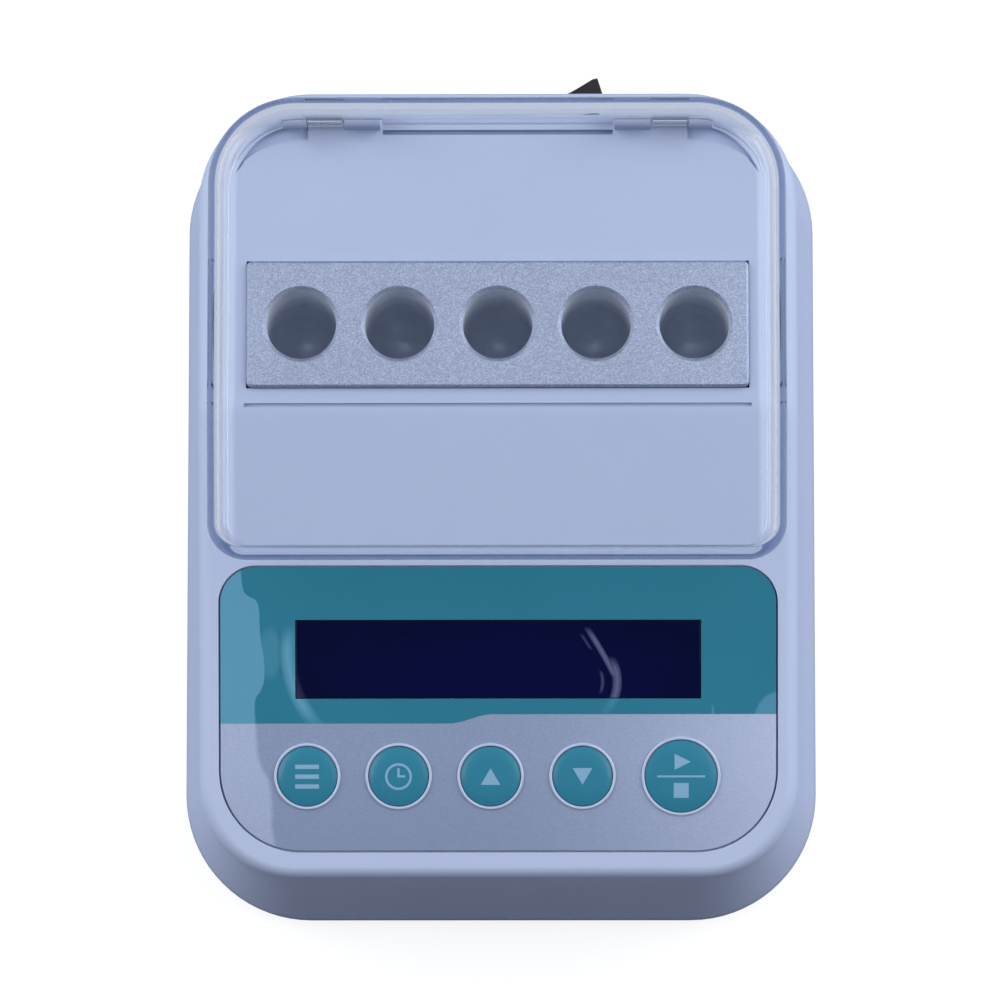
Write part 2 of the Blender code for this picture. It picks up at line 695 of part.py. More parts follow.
def panel_holes(shop):
    """Display opening, key holes and pilots of the board screws."""
    bm = bmesh.new()
    add_box(bm, (WINDOW_WIDTH, WINDOW_HEIGHT, 4 * WALL), (0, WINDOW_OFFSET, 0))
    for _, x, radius in key_places():
        add_cylinder(bm, radius + GAP, -2 * WALL, OVERCUT, (x, KEY_OFFSET))
    for place in board_boss_places():
        add_cylinder(bm, SMALL_SCREW_RADIUS + RUNNING_GAP, -CONTROL_BOARD_DEPTH - OVERCUT,
                     -PANEL_RECESS - WALL / 2, place, SMALL_STEPS)
    return shop.cutter("panel_holes", to_mesh("panel_holes", bm), parent=shop.panel)


def rear_cuts(shop):
    """Openings in the rear wall for the rocker switch and the inlet."""
    bm = bmesh.new()
    add_box(bm, (SWITCH_BODY_LENGTH + 2 * GAP, 6 * WALL, SWITCH_BODY_HEIGHT + 2 * GAP), (SWITCH_X, 0, 0))
    add_along_cylinder(bm, JACK_RADIUS + GAP, -3 * WALL, 3 * WALL, JACK_X)
    return shop.cutter("rear_cuts", to_mesh("rear_cuts", bm), parent=shop.rear)


def add_along_cylinder(bm, radius, low, high, x, steps=ROUND_STEPS):
    """Cylinder along the rear frame's Y."""
    place = Matrix.Translation((x, (low + high) / 2, 0)) @ Matrix.Rotation(math.pi / 2, 4, "X")
    bmesh.ops.create_cone(bm, cap_ends=True, segments=steps, radius1=radius, radius2=radius,
                          depth=high - low, matrix=place)


def make_base_tray(shop):
    rim = PARTING_Z - GAP
    tongue_inset = WALL + GAP
    outer = [flat_ring(UNDERSIDE_Z, SKIRT_INSET), flat_ring(UNDERSIDE_Z + SKIRT_INSET / 3, SKIRT_INSET / 3),
             flat_ring(SKIRT_Z, 0.0), skirt_wall_ring(rim, 0.0), skirt_wall_ring(rim, tongue_inset),
             skirt_wall_ring(PARTING_Z + TONGUE_HEIGHT, tongue_inset)]
    tray = shop.add("base_tray", skin_mesh("base_tray", outer), "tray_white")
    inner_inset = tongue_inset + TONGUE_THICKNESS
    inner = [flat_ring(FLOOR_Z, inner_inset),
             skirt_wall_ring(PARTING_Z + TONGUE_HEIGHT + OVERCUT, inner_inset)]
    boolean(tray, shop.cutter("tray_hollow", skin_mesh("tray_hollow", inner)), "DIFFERENCE")
    boolean(tray, tray_bosses(shop), "UNION")
    boolean(tray, tray_cuts(shop), "DIFFERENCE")


def foot_places():
    x = BASE_HALF_WIDTH - FOOT_SIDE_INSET
    ends = (BASE_FRONT_Y + FOOT_END_INSET, BASE_REAR_Y - FOOT_END_INSET)
    return [(side * x, y) for side in (-1, 1) for y in ends]


def standoff_places():
    half_x = POWER_BOARD_WIDTH / 2 - STANDOFF_INSET
    half_y = POWER_BOARD_LENGTH / 2 - STANDOFF_INSET
    return [(sx * half_x, POWER_BOARD_Y + sy * half_y) for sx in (-1, 1) for sy in (-1, 1)]


def tray_bosses(shop):
    bm = bmesh.new()
    low = UNDERSIDE_Z + FLOOR_THICKNESS / 2
    for x, y in case_screw_places():
        add_cylinder(bm, BOSS_RADIUS, low, BOSS_MEET_Z - GAP, (x, y))
    for side in (-1, 1):
        add_cylinder(bm, BOSS_RADIUS, low, CARRIER_BOTTOM_Z - GAP, (side * BLOCK_SCREW_X, BLOCK_Y))
    for place in standoff_places():
        add_cylinder(bm, STANDOFF_RADIUS, low, FLOOR_Z + STANDOFF_HEIGHT, place, SMALL_STEPS)
    return shop.cutter("tray_bosses", to_mesh("tray_bosses", bm))


def tray_cuts(shop):
    """Screw holes with their counterbores, foot recesses and board pilots."""
    bm = bmesh.new()
    seats = [(place, BOSS_MEET_Z) for place in case_screw_places()]
    seats += [((side * BLOCK_SCREW_X, BLOCK_Y), CARRIER_BOTTOM_Z) for side in (-1, 1)]
    for place, top in seats:
        add_turned(bm, [(0, top + OVERCUT), (SCREW_RADIUS + GAP, top + OVERCUT),
                        (SCREW_RADIUS + GAP, CASE_SCREW_SEAT_Z), (SCREW_HEAD_RADIUS + GAP, CASE_SCREW_SEAT_Z),
                        (SCREW_HEAD_RADIUS + GAP, 0), (0, 0)], SMALL_STEPS, place)
    for place in foot_places():
        add_cylinder(bm, FOOT_RADIUS + GAP, 0, UNDERSIDE_Z + FOOT_RECESS, place)
    for place in standoff_places():
        add_cylinder(bm, SMALL_SCREW_RADIUS + RUNNING_GAP, FLOOR_Z, POWER_BOARD_TOP, place, SMALL_STEPS)
    return shop.cutter("tray_cuts", to_mesh("tray_cuts", bm))


def make_feet(shop):
    top = UNDERSIDE_Z + FOOT_RECESS - GAP
    bevel = FOOT_RADIUS / 10
    profile = [(0, top), (FOOT_RADIUS, top), (FOOT_RADIUS, bevel), (FOOT_RADIUS - bevel, 0), (0, 0)]
    mesh = turned_mesh("foot", profile)
    for number, (x, y) in enumerate(foot_places(), 1):
        shop.add(f"foot_{number}", mesh, "rubber_black", (x, y, 0))


def screw_mesh(name, shank_radius, head_radius, head_height, length):
    """Pan-head screw along +Z, with its head's seat at the origin and a hexagon socket."""
    edge = head_radius * 0.8
    socket = head_radius / 2
    middle = -head_height / 2
    profile = [(0, length), (shank_radius * 0.6, length), (shank_radius, length - shank_radius),
               (shank_radius, 0), (head_radius, 0), (head_radius, middle), (edge, -head_height),
               (socket, -head_height), (socket, middle), (0, middle)]
    bm = bmesh.new()
    add_turned(bm, profile, SMALL_STEPS)
    return to_mesh(name, bm)


def make_case_screws(shop):
    mesh = screw_mesh("case_screw", SCREW_RADIUS, SCREW_HEAD_RADIUS, SCREW_HEAD_HEIGHT, CASE_SCREW_LENGTH)
    for number, (x, y) in enumerate(case_screw_places(), 1):
        shop.add(f"case_screw_{number}", mesh, "steel", (x, y, CASE_SCREW_SEAT_Z - GAP))


def make_block_screws(shop):
    seat = CASE_SCREW_SEAT_Z - GAP
    length = BLOCK_BOTTOM_Z + BLOCK_SCREW_GRIP - seat
    mesh = screw_mesh("block_screw", SCREW_RADIUS, SCREW_HEAD_RADIUS, SCREW_HEAD_HEIGHT, length)
    for name, side in (("left", -1), ("right", 1)):
        shop.add(f"block_screw_{name}", mesh, "steel", (side * BLOCK_SCREW_X, BLOCK_Y, seat))


def lid_ring(offset, share, height, side_round, front_round):
    """Ring of the lid's skin: share runs from 0 at the wall to 1 where the round meets the top."""
    turn = math.pi / 2 * share
    side_inset = offset + LID_DRAFT + side_round * (1 - math.cos(turn))
    front_inset = offset + LID_FRONT_DRAFT + front_round * (1 - math.cos(turn))
    front = deck_run(LID_FRONT_Y)
    rear = deck_run(LID_REAR_Y)
    across = max(LID_FRONT_RADIUS - side_inset, LID_FRONT_RADIUS / 10)
    along = LID_FRONT_RADIUS - front_inset
    half = half_outline(LID_HALF_WIDTH - side_inset, front + front_inset, rear - side_inset,
                        (across, along), LID_REAR_RADIUS - side_inset, BEND_RUNS)
    ring = []
    for x, run, way in mirrored(half):
        radius = front_round + (side_round - front_round) * way
        ring.append(deck_point(x, run, height - radius * (1 - math.sin(turn))))
    return ring


def lid_foot_ring(offset, rise):
    front_radius = LID_FRONT_RADIUS - offset
    half = half_outline(LID_HALF_WIDTH - offset, deck_run(LID_FRONT_Y) + offset,
                        deck_run(LID_REAR_Y) - offset, (front_radius, front_radius),
                        LID_REAR_RADIUS - offset, BEND_RUNS)
    return [deck_point(x, run, rise) for x, run, _ in mirrored(half)]


def make_lid(shop):
    """Clear cover that follows the deck's bend, with wide rounds at the sides and rear."""
    shares = [step / LID_STEPS for step in range(LID_STEPS + 1)]
    outer = [lid_foot_ring(0.0, GAP)]
    outer += [lid_ring(0.0, share, LID_HEIGHT, LID_SIDE_ROUND, LID_FRONT_ROUND) for share in shares]
    mesh = skin_mesh("lid", outer)
    mesh.transform(Matrix.Translation((0, -HINGE_Y, -HINGE_Z)))
    lid = shop.add("lid", mesh, "clear_plastic", (0, HINGE_Y, HINGE_Z))
    inner = [lid_foot_ring(LID_WALL, GAP - OVERCUT)]
    inner += [lid_ring(LID_WALL, share, LID_HEIGHT - LID_WALL, LID_SIDE_ROUND - LID_WALL,
                       LID_FRONT_ROUND / 3) for share in shares]
    boolean(lid, shop.cutter("lid_hollow", skin_mesh("lid_hollow", inner)), "DIFFERENCE")
    boolean(lid, lid_notches(shop), "DIFFERENCE")
    boolean(lid, lid_ears(shop), "UNION")
    boolean(lid, lid_bores(shop), "DIFFERENCE")


def lid_notches(shop):
    """Gaps in the lid's rear wall round the knuckles and ears."""
    (low, _), (_, high) = knuckle_spans()
    bm = bmesh.new()
    for side in (-1, 1):
        left, right = sorted((side * (low - GAP), side * (high + GAP)))
        span_box(bm, (left, LID_REAR_Y - 2 * LID_WALL, DECK_Z - OVERCUT),
                 (right, LID_REAR_Y + OVERCUT, HINGE_Z + KNUCKLE_RADIUS + 2 * GAP))
    return shop.cutter("lid_notches", to_mesh("lid_notches", bm))


def lid_ears(shop):
    """Rounded ears that reach down from the rear wall to the hinge line."""
    outline = []
    steps = ROUND_STEPS // 2
    for step in range(steps + 1):
        turn = math.pi + math.pi * step / steps
        outline.append((HINGE_Y + KNUCKLE_RADIUS * math.cos(turn), HINGE_Z + KNUCKLE_RADIUS * math.sin(turn)))
    wall_back = LID_REAR_Y - LID_DRAFT - GAP
    wall_front = LID_REAR_Y - LID_WALL
    top = HINGE_Z + KNUCKLE_RADIUS + LID_WALL
    outline += [(wall_back, top), (wall_front, top)]
    bm = bmesh.new()
    for side in (-1, 1):
        centre = side * EAR_CENTRE_X
        add_cross_prism(bm, outline, centre - EAR_WIDTH / 2, centre + EAR_WIDTH / 2)
    return shop.cutter("lid_ears", to_mesh("lid_ears", bm))


def lid_bores(shop):
    bm = bmesh.new()
    for side in (-1, 1):
        centre = side * EAR_CENTRE_X
        add_cross_cylinder(bm, PIN_RADIUS + RUNNING_GAP, centre - EAR_WIDTH, centre + EAR_WIDTH,
                           HINGE_Y, HINGE_Z, SMALL_STEPS)
    return shop.cutter("lid_bores", to_mesh("lid_bores", bm))


def make_hinge_pins(shop):
    low, high = pin_span()
    mesh = cylinder_mesh("hinge_pin", PIN_RADIUS, -(high - low) / 2, (high - low) / 2, steps=SMALL_STEPS)
    for name, side in (("left", -1), ("right", 1)):
        place = (side * (low + high) / 2, HINGE_Y, HINGE_Z)
        shop.add(f"hinge_pin_{name}", mesh, "steel", place, (0, math.pi / 2, 0))


def make_heating_block(shop):
    bm = bmesh.new()
    add_box(bm, (BLOCK_WIDTH, BLOCK_DEPTH, BLOCK_HEIGHT))
    top = [edge for edge in bm.edges if all(vert.co.z > 0 for vert in edge.verts)]
    bmesh.ops.bevel(bm, geom=top, offset=BLOCK_CHAMFER, segments=1, profile=0.5, affect="EDGES")
    centre_z = (BLOCK_TOP_Z + BLOCK_BOTTOM_Z) / 2
    block = shop.add("heating_block", to_mesh("heating_block", bm, 20), "sandblasted_aluminium",
                     (0, BLOCK_Y, centre_z))
    boolean(block, block_wells(shop), "DIFFERENCE")
    boolean(block, block_drillings(shop), "DIFFERENCE")


def well_places():
    return [(number - (WELL_COUNT - 1) / 2) * WELL_PITCH for number in range(WELL_COUNT)]


def block_wells(shop):
    mouth = WELL_RADIUS + WELL_CHAMFER
    bm = bmesh.new()
    for x in well_places():
        add_turned(bm, [(0, OVERCUT), (mouth, OVERCUT), (mouth, 0), (WELL_RADIUS, -WELL_CHAMFER),
                        (WELL_RADIUS, -WELL_SHOULDER_DEPTH + WELL_RADIUS - WELL_TIP_RADIUS),
                        (WELL_TIP_RADIUS, -WELL_SHOULDER_DEPTH), (WELL_TIP_RADIUS, -WELL_TIP_DEPTH),
                        (0, -WELL_DEPTH)], ROUND_STEPS, (x, 0))
    return shop.cutter("block_wells", to_mesh("block_wells", bm), (0, BLOCK_Y, BLOCK_TOP_Z))


def probe_height():
    return CARRIER_TOP_Z + SLEEVE_RISE / 2


def block_drillings(shop):
    """Blind holes for the block screws, from below, and for the two probes, from the rear."""
    bm = bmesh.new()
    for side in (-1, 1):
        add_cylinder(bm, SCREW_RADIUS + RUNNING_GAP, BLOCK_BOTTOM_Z - OVERCUT,
                     BLOCK_BOTTOM_Z + BLOCK_SCREW_GRIP + GAP, (side * BLOCK_SCREW_X, BLOCK_Y), SMALL_STEPS)
    length = PROBE_INSERTION + GAP + OVERCUT
    middle = BLOCK_Y + BLOCK_DEPTH / 2 - PROBE_INSERTION - GAP + length / 2
    for side in (-1, 1):
        place = Matrix.Translation((side * WELL_PITCH / 2, middle, probe_height()))
        bmesh.ops.create_cone(bm, cap_ends=True, segments=SMALL_STEPS, radius1=PROBE_RADIUS + RUNNING_GAP,
                              radius2=PROBE_RADIUS + RUNNING_GAP, depth=length,
                              matrix=place @ Matrix.Rotation(math.pi / 2, 4, "X"))
    return shop.cutter("block_drillings", to_mesh("block_drillings", bm))


def make_probes(shop):
    """Temperature sensor and thermal cut-off, each a capsule pushed into the block from the rear."""
    mesh = turned_mesh("probe", [(0, PROBE_LENGTH), (PROBE_RADIUS * 0.7, PROBE_LENGTH),
                                 (PROBE_RADIUS, PROBE_LENGTH - PROBE_RADIUS / 2), (PROBE_RADIUS, 0), (0, 0)],
                       SMALL_STEPS)
    start = BLOCK_Y + BLOCK_DEPTH / 2 - PROBE_INSERTION + PROBE_LENGTH
    for name, side in (("temperature_sensor", 1), ("thermal_cutoff", -1)):
        shop.add(name, mesh, "nickel", (side * WELL_PITCH / 2, start, probe_height()), (math.pi / 2, 0, 0))


def make_heater_pad(shop):
    centre = (0, BLOCK_Y, HEATER_TOP_Z - HEATER_THICKNESS / 2)
    size = (BLOCK_WIDTH - 2 * HEATER_MARGIN, BLOCK_DEPTH - 2 * HEATER_MARGIN, HEATER_THICKNESS)
    pad = shop.add("heater_pad", box_mesh("heater_pad", size), "heater_orange", centre)
    boolean(pad, screw_clearances(shop, "heater_pad_holes"), "DIFFERENCE")


def screw_clearances(shop, name):
    bm = bmesh.new()
    for side in (-1, 1):
        add_cylinder(bm, SCREW_RADIUS + GAP, CARRIER_BOTTOM_Z - OVERCUT, BLOCK_BOTTOM_Z + OVERCUT,
                     (side * BLOCK_SCREW_X, BLOCK_Y), SMALL_STEPS)
    return shop.cutter(name, to_mesh(name, bm))


def block_collar(shop, name, material, wall, low, high, floor):
    """Collar that fits round the block and is open above its floor."""
    x = BLOCK_WIDTH / 2 + GAP
    y = BLOCK_DEPTH / 2 + GAP
    bm = bmesh.new()
    span_box(bm, (-x - wall, BLOCK_Y - y - wall, low), (x + wall, BLOCK_Y + y + wall, high))
    collar = shop.add(name, to_mesh(name, bm), material)
    hollow = bmesh.new()
    span_box(hollow, (-x, BLOCK_Y - y, floor), (x, BLOCK_Y + y, high + OVERCUT))
    boolean(collar, shop.cutter(f"{name}_hollow", to_mesh(f"{name}_hollow", hollow)), "DIFFERENCE")
    return collar


def make_block_carrier(shop):
    """Heat-resistant cup that holds the foot of the block on the tray's posts."""
    carrier = block_collar(shop, "block_carrier", "carrier_plastic", CARRIER_WALL, CARRIER_BOTTOM_Z,
                           CARRIER_TOP_Z, CARRIER_FLOOR_Z)
    boolean(carrier, screw_clearances(shop, "carrier_holes"), "DIFFERENCE")


def make_insulation_sleeve(shop):
    low = CARRIER_TOP_Z + SLEEVE_RISE
    high = DECK_Z - WALL - SLEEVE_TOP_CLEARANCE
    block_collar(shop, "insulation_sleeve", "foam_grey", SLEEVE_WALL, low, high, low - OVERCUT)


def make_panel_overlay(shop):
    outline = rounded_rectangle(PANEL_WIDTH, PANEL_LENGTH, PANEL_FRONT_RADIUS, PANEL_REAR_RADIUS)
    low = GAP - PANEL_RECESS
    mesh = prism_mesh("panel_overlay", outline, low, low + PANEL_THICKNESS)
    overlay = shop.add("panel_overlay", mesh, "overlay_film", parent=shop.panel)
    bm = bmesh.new()
    add_box(bm, (WINDOW_WIDTH, WINDOW_HEIGHT, 4 * WALL), (0, WINDOW_OFFSET, 0))
    for _, x, radius in key_places():
        add_cylinder(bm, radius + GAP, -2 * WALL, 2 * WALL, (x, KEY_OFFSET))
    holes = shop.cutter("overlay_holes", to_mesh("overlay_holes", bm), parent=shop.panel)
    boolean(overlay, holes, "DIFFERENCE")


def make_display_window(shop):
    """Lens that fills the opening, with a flange behind the casing's wall."""
    width = WINDOW_WIDTH - 2 * RUNNING_GAP
    height = WINDOW_HEIGHT - 2 * RUNNING_GAP
    flange_top = -WALL - GAP
    flange_low = flange_top - WINDOW_FLANGE_THICKNESS
    bm = bmesh.new()
    span_box(bm, (-width / 2, WINDOW_OFFSET - height / 2, flange_low),
             (width / 2, WINDOW_OFFSET + height / 2, GAP - PANEL_RECESS + PANEL_THICKNESS))
    window = shop.add("display_window", to_mesh("display_window", bm), "window_navy", parent=shop.panel)
    rim = bmesh.new()
    reach_x = width / 2 + WINDOW_FLANGE
    reach_y = height / 2 + WINDOW_FLANGE
    span_box(rim, (-reach_x, WINDOW_OFFSET - reach_y, flange_low),
             (reach_x, WINDOW_OFFSET + reach_y, flange_top))
    boolean(window, shop.cutter("window_flange", to_mesh("window_flange", rim), parent=shop.panel), "UNION")


def make_keys(shop):
    """Round keys with a flange under the casing's wall and a stem over each plunger."""
    flange_top = -WALL - GAP
    flange_low = flange_top - KEY_FLANGE_THICKNESS
    plunger_top = KEY_BOTTOM - GAP
    for name, x, radius in key_places():
        edge = radius / 12
        profile = [(0, KEY_PROUD), (radius - edge, KEY_PROUD), (radius, KEY_PROUD - edge),
                   (radius, flange_top), (radius + KEY_FLANGE, flange_top), (radius + KEY_FLANGE, flange_low),
                   (KEY_STEM_RADIUS, flange_low), (KEY_STEM_RADIUS, KEY_BOTTOM), (0, KEY_BOTTOM)]
        shop.add(f"{name}_key", turned_mesh(f"{name}_key", profile), "key_teal", (x, KEY_OFFSET, 0),
                 parent=shop.panel)
        plunger = cylinder_mesh(f"{name}_plunger", PLUNGER_RADIUS, SWITCH_TOP - PLUNGER_INSERTION,
                                plunger_top, steps=SMALL_STEPS)
        shop.add(f"{name}_plunger", plunger, "black_plastic", (x, KEY_OFFSET, 0), parent=shop.panel)
        bm = bmesh.new()
        add_box(bm, (SWITCH_SIDE, SWITCH_SIDE, SWITCH_HEIGHT), (0, 0, SWITCH_TOP - SWITCH_HEIGHT / 2))
        switch = shop.add(f"{name}_switch", to_mesh(f"{name}_switch", bm), "nickel", (x, KEY_OFFSET, 0),
                          parent=shop.panel)
        well = cylinder_mesh(f"{name}_switch_well", PLUNGER_RADIUS + GAP, SWITCH_TOP - SWITCH_WELL_DEPTH,
                             SWITCH_TOP + OVERCUT, steps=SMALL_STEPS)
        boolean(switch, shop.cutter(f"{name}_switch_well", well, (x, KEY_OFFSET, 0), parent=shop.panel),
                "DIFFERENCE")


def make_display_module(shop):
    """Display glass in a metal frame that stands on the control board behind the window."""
    low = -CONTROL_BOARD_DEPTH + GAP
    high = -WALL - 2 * GAP - WINDOW_FLANGE_THICKNESS
    half_x = WINDOW_WIDTH / 2 + BEZEL_MARGIN
    half_y = WINDOW_HEIGHT / 2 + BEZEL_MARGIN
    bm = bmesh.new()
    span_box(bm, (-half_x, WINDOW_OFFSET - half_y, low), (half_x, WINDOW_OFFSET + half_y, high))
    bezel = shop.add("display_bezel", to_mesh("display_bezel", bm), "steel", parent=shop.panel)
    hollow = bmesh.new()
    span_box(hollow, (-half_x + BEZEL_WALL, WINDOW_OFFSET - half_y + BEZEL_WALL, low - OVERCUT),
             (half_x - BEZEL_WALL, WINDOW_OFFSET + half_y - BEZEL_WALL, high - BEZEL_WALL))
    inside = shop.cutter("bezel_hollow", to_mesh("bezel_hollow", hollow), parent=shop.panel)
    boolean(bezel, inside, "DIFFERENCE")
    opening = box_mesh("bezel_opening", (WINDOW_WIDTH, WINDOW_HEIGHT, 4 * BEZEL_WALL),
                       (0, WINDOW_OFFSET, high))
    boolean(bezel, shop.cutter("bezel_opening", opening, parent=shop.panel), "DIFFERENCE")
    glass_top = high - BEZEL_WALL - GAP
    glass = bmesh.new()
    margin = BEZEL_WALL + GAP
    span_box(glass, (-half_x + margin, WINDOW_OFFSET - half_y + margin, low),
             (half_x - margin, WINDOW_OFFSET + half_y - margin, glass_top))
    shop.add("display_glass", to_mesh("display_glass", glass), "window_navy", parent=shop.panel)


def make_control_board(shop):
    top = -CONTROL_BOARD_DEPTH
    size = (CONTROL_BOARD_WIDTH, CONTROL_BOARD_REAR - CONTROL_BOARD_FRONT, BOARD_THICKNESS)
    middle = (CONTROL_BOARD_REAR + CONTROL_BOARD_FRONT) / 2
    mesh = box_mesh("control_board", size, (0, middle, top - BOARD_THICKNESS / 2))
    board = shop.add("control_board", mesh, "board_green", parent=shop.panel)
    bm = bmesh.new()
    for place in board_boss_places():
        add_cylinder(bm, SMALL_SCREW_RADIUS + GAP, top - 2 * BOARD_THICKNESS, top + BOARD_THICKNESS, place,
                     SMALL_STEPS)
    boolean(board, shop.cutter("control_board_holes", to_mesh("control_board_holes", bm), parent=shop.panel),
            "DIFFERENCE")
    screw = screw_mesh("board_screw", SMALL_SCREW_RADIUS, SMALL_SCREW_HEAD_RADIUS, SMALL_SCREW_HEAD_HEIGHT,
                       SMALL_SCREW_LENGTH)
    seat = top - BOARD_THICKNESS - GAP
    left, right = board_boss_places()[:2]
    shop.add("control_screw_left", screw, "steel", (*left, seat), parent=shop.panel)
    shop.add("control_screw_right", screw, "steel", (*right, seat), parent=shop.panel)
    return screw


def make_power_board(shop, screw):
    size = (POWER_BOARD_WIDTH, POWER_BOARD_LENGTH, BOARD_THICKNESS)
    mesh = box_mesh("power_board", size, (0, 0, BOARD_THICKNESS / 2))
    board = shop.add("power_board", mesh, "board_green", (0, POWER_BOARD_Y, POWER_BOARD_Z))
    bm = bmesh.new()
    for place in standoff_places():
        add_cylinder(bm, SMALL_SCREW_RADIUS + GAP, FLOOR_Z, 2 * POWER_BOARD_TOP, place, SMALL_STEPS)
    boolean(board, shop.cutter("power_board_holes", to_mesh("power_board_holes", bm)), "DIFFERENCE")
    seat = POWER_BOARD_TOP + GAP
    corners = standoff_places()
    shop.add("power_screw_left", screw, "steel", (*corners[1], seat), (math.pi, 0, 0))
    shop.add("power_screw_right", screw, "steel", (*corners[3], seat), (math.pi, 0, 0))


def make_power_parts(shop):
    """Capacitor, buzzer, transistor and its finned heat sink, all standing on the power board."""
    foot = POWER_BOARD_TOP + GAP
    groove = CAPACITOR_RADIUS / 10
    profile = [(0, CAPACITOR_HEIGHT), (CAPACITOR_RADIUS - groove, CAPACITOR_HEIGHT),
               (CAPACITOR_RADIUS, CAPACITOR_HEIGHT - groove), (CAPACITOR_RADIUS, 0), (0, 0)]
    front = POWER_BOARD_Y - POWER_BOARD_LENGTH / 4
    shop.add("capacitor", turned_mesh("capacitor", profile, SMALL_STEPS), "black_plastic",
             (-POWER_BOARD_WIDTH / 4, front, foot))
    port = BUZZER_RADIUS / 5
    profile = [(0, BUZZER_HEIGHT / 2), (port, BUZZER_HEIGHT / 2), (port, BUZZER_HEIGHT),
               (BUZZER_RADIUS, BUZZER_HEIGHT), (BUZZER_RADIUS, 0), (0, 0)]
    shop.add("buzzer", turned_mesh("buzzer", profile), "black_plastic", (0, front, foot))
    fin = HEAT_SINK_WIDTH / (2 * HEAT_SINK_FINS - 1)
    bm = bmesh.new()
    span_box(bm, (0, 0, 0), (HEAT_SINK_WIDTH, fin, HEAT_SINK_HEIGHT))
    place = (POWER_BOARD_WIDTH / 4 - HEAT_SINK_WIDTH / 2, front, foot)
    sink = shop.add("heat_sink", to_mesh("heat_sink", bm), "black_plastic", place)
    fins = bmesh.new()
    for number in range(HEAT_SINK_FINS):
        span_box(fins, (2 * fin * number, -3 * fin, 0), (2 * fin * number + fin, fin / 2, HEAT_SINK_HEIGHT))
    boolean(sink, shop.cutter("heat_sink_fins", to_mesh("heat_sink_fins", fins), place), "UNION")
    body = bmesh.new()
    half = HEAT_SINK_WIDTH / 4
    span_box(body, (-half, fin + GAP, 0), (half, fin + GAP + 2 * fin, HEAT_SINK_HEIGHT - fin))
    shop.add("transistor", to_mesh("transistor", body), "carrier_plastic",
             (place[0] + HEAT_SINK_WIDTH / 2, place[1], foot))


def make_rocker_switch(shop):
    """Switch housing let into the rear wall, with the rocker on its upright pivot."""
    half_l = SWITCH_BODY_LENGTH / 2
    half_h = SWITCH_BODY_HEIGHT / 2
    bm = bmesh.new()
    span_box(bm, (-half_l, -SWITCH_BODY_DEPTH, -half_h), (half_l, SWITCH_FLANGE_THICKNESS, half_h))
    body = shop.add("switch_housing", to_mesh("switch_housing", bm), "black_plastic", (SWITCH_X, 0, 0),
                    parent=shop.rear)
    flange = bmesh.new()
    span_box(flange, (-half_l - SWITCH_FLANGE, GAP, -half_h - SWITCH_FLANGE),
             (half_l + SWITCH_FLANGE, SWITCH_FLANGE_THICKNESS, half_h + SWITCH_FLANGE))
    boolean(body, shop.cutter("switch_flange", to_mesh("switch_flange", flange), (SWITCH_X, 0, 0),
                              parent=shop.rear), "UNION")
    pocket = bmesh.new()
    span_box(pocket, (-half_l + SWITCH_SIDE_WALL, -SWITCH_POCKET_DEPTH, -half_h + SWITCH_SIDE_WALL),
             (half_l - SWITCH_SIDE_WALL, 2 * SWITCH_FLANGE_THICKNESS, half_h - SWITCH_SIDE_WALL))
    boolean(body, shop.cutter("switch_pocket", to_mesh("switch_pocket", pocket), (SWITCH_X, 0, 0),
                              parent=shop.rear), "DIFFERENCE")
    bore = cylinder_mesh("switch_bore", TRUNNION_RADIUS + RUNNING_GAP, -SWITCH_BODY_HEIGHT,
                         SWITCH_BODY_HEIGHT, steps=SMALL_STEPS)
    boolean(body, shop.cutter("switch_bore", bore, (SWITCH_X, -ROCKER_PIVOT_DEPTH, 0), parent=shop.rear),
            "DIFFERENCE")
    make_rocker(shop)


def make_rocker(shop):
    """Rocker with raised ends and a dipped middle, at rest with its +X end out."""
    long = ROCKER_HALF_LENGTH
    tip = ROCKER_PIVOT_DEPTH + 2 * SWITCH_FLANGE_THICKNESS - GAP
    dip = tip / 2
    outline = [(-long, tip), (-long * 0.98, 0), (-long / 2, -long / 2), (long / 2, -long / 2),
               (long * 0.98, 0), (long, tip), (0, dip)]
    half = ROCKER_THICKNESS / 2
    mesh = prism_mesh("rocker", outline, -half, half)
    rocker = shop.add("rocker", mesh, "black_plastic", (SWITCH_X, -ROCKER_PIVOT_DEPTH, 0),
                      (0, 0, ROCKER_TILT), shop.rear)
    reach = SWITCH_BODY_HEIGHT / 2 - SWITCH_SIDE_WALL / 3
    trunnion = cylinder_mesh("trunnion", TRUNNION_RADIUS, -reach, reach, steps=SMALL_STEPS)
    boolean(rocker, shop.cutter("trunnion", trunnion, (SWITCH_X, -ROCKER_PIVOT_DEPTH, 0), parent=shop.rear),
            "UNION")


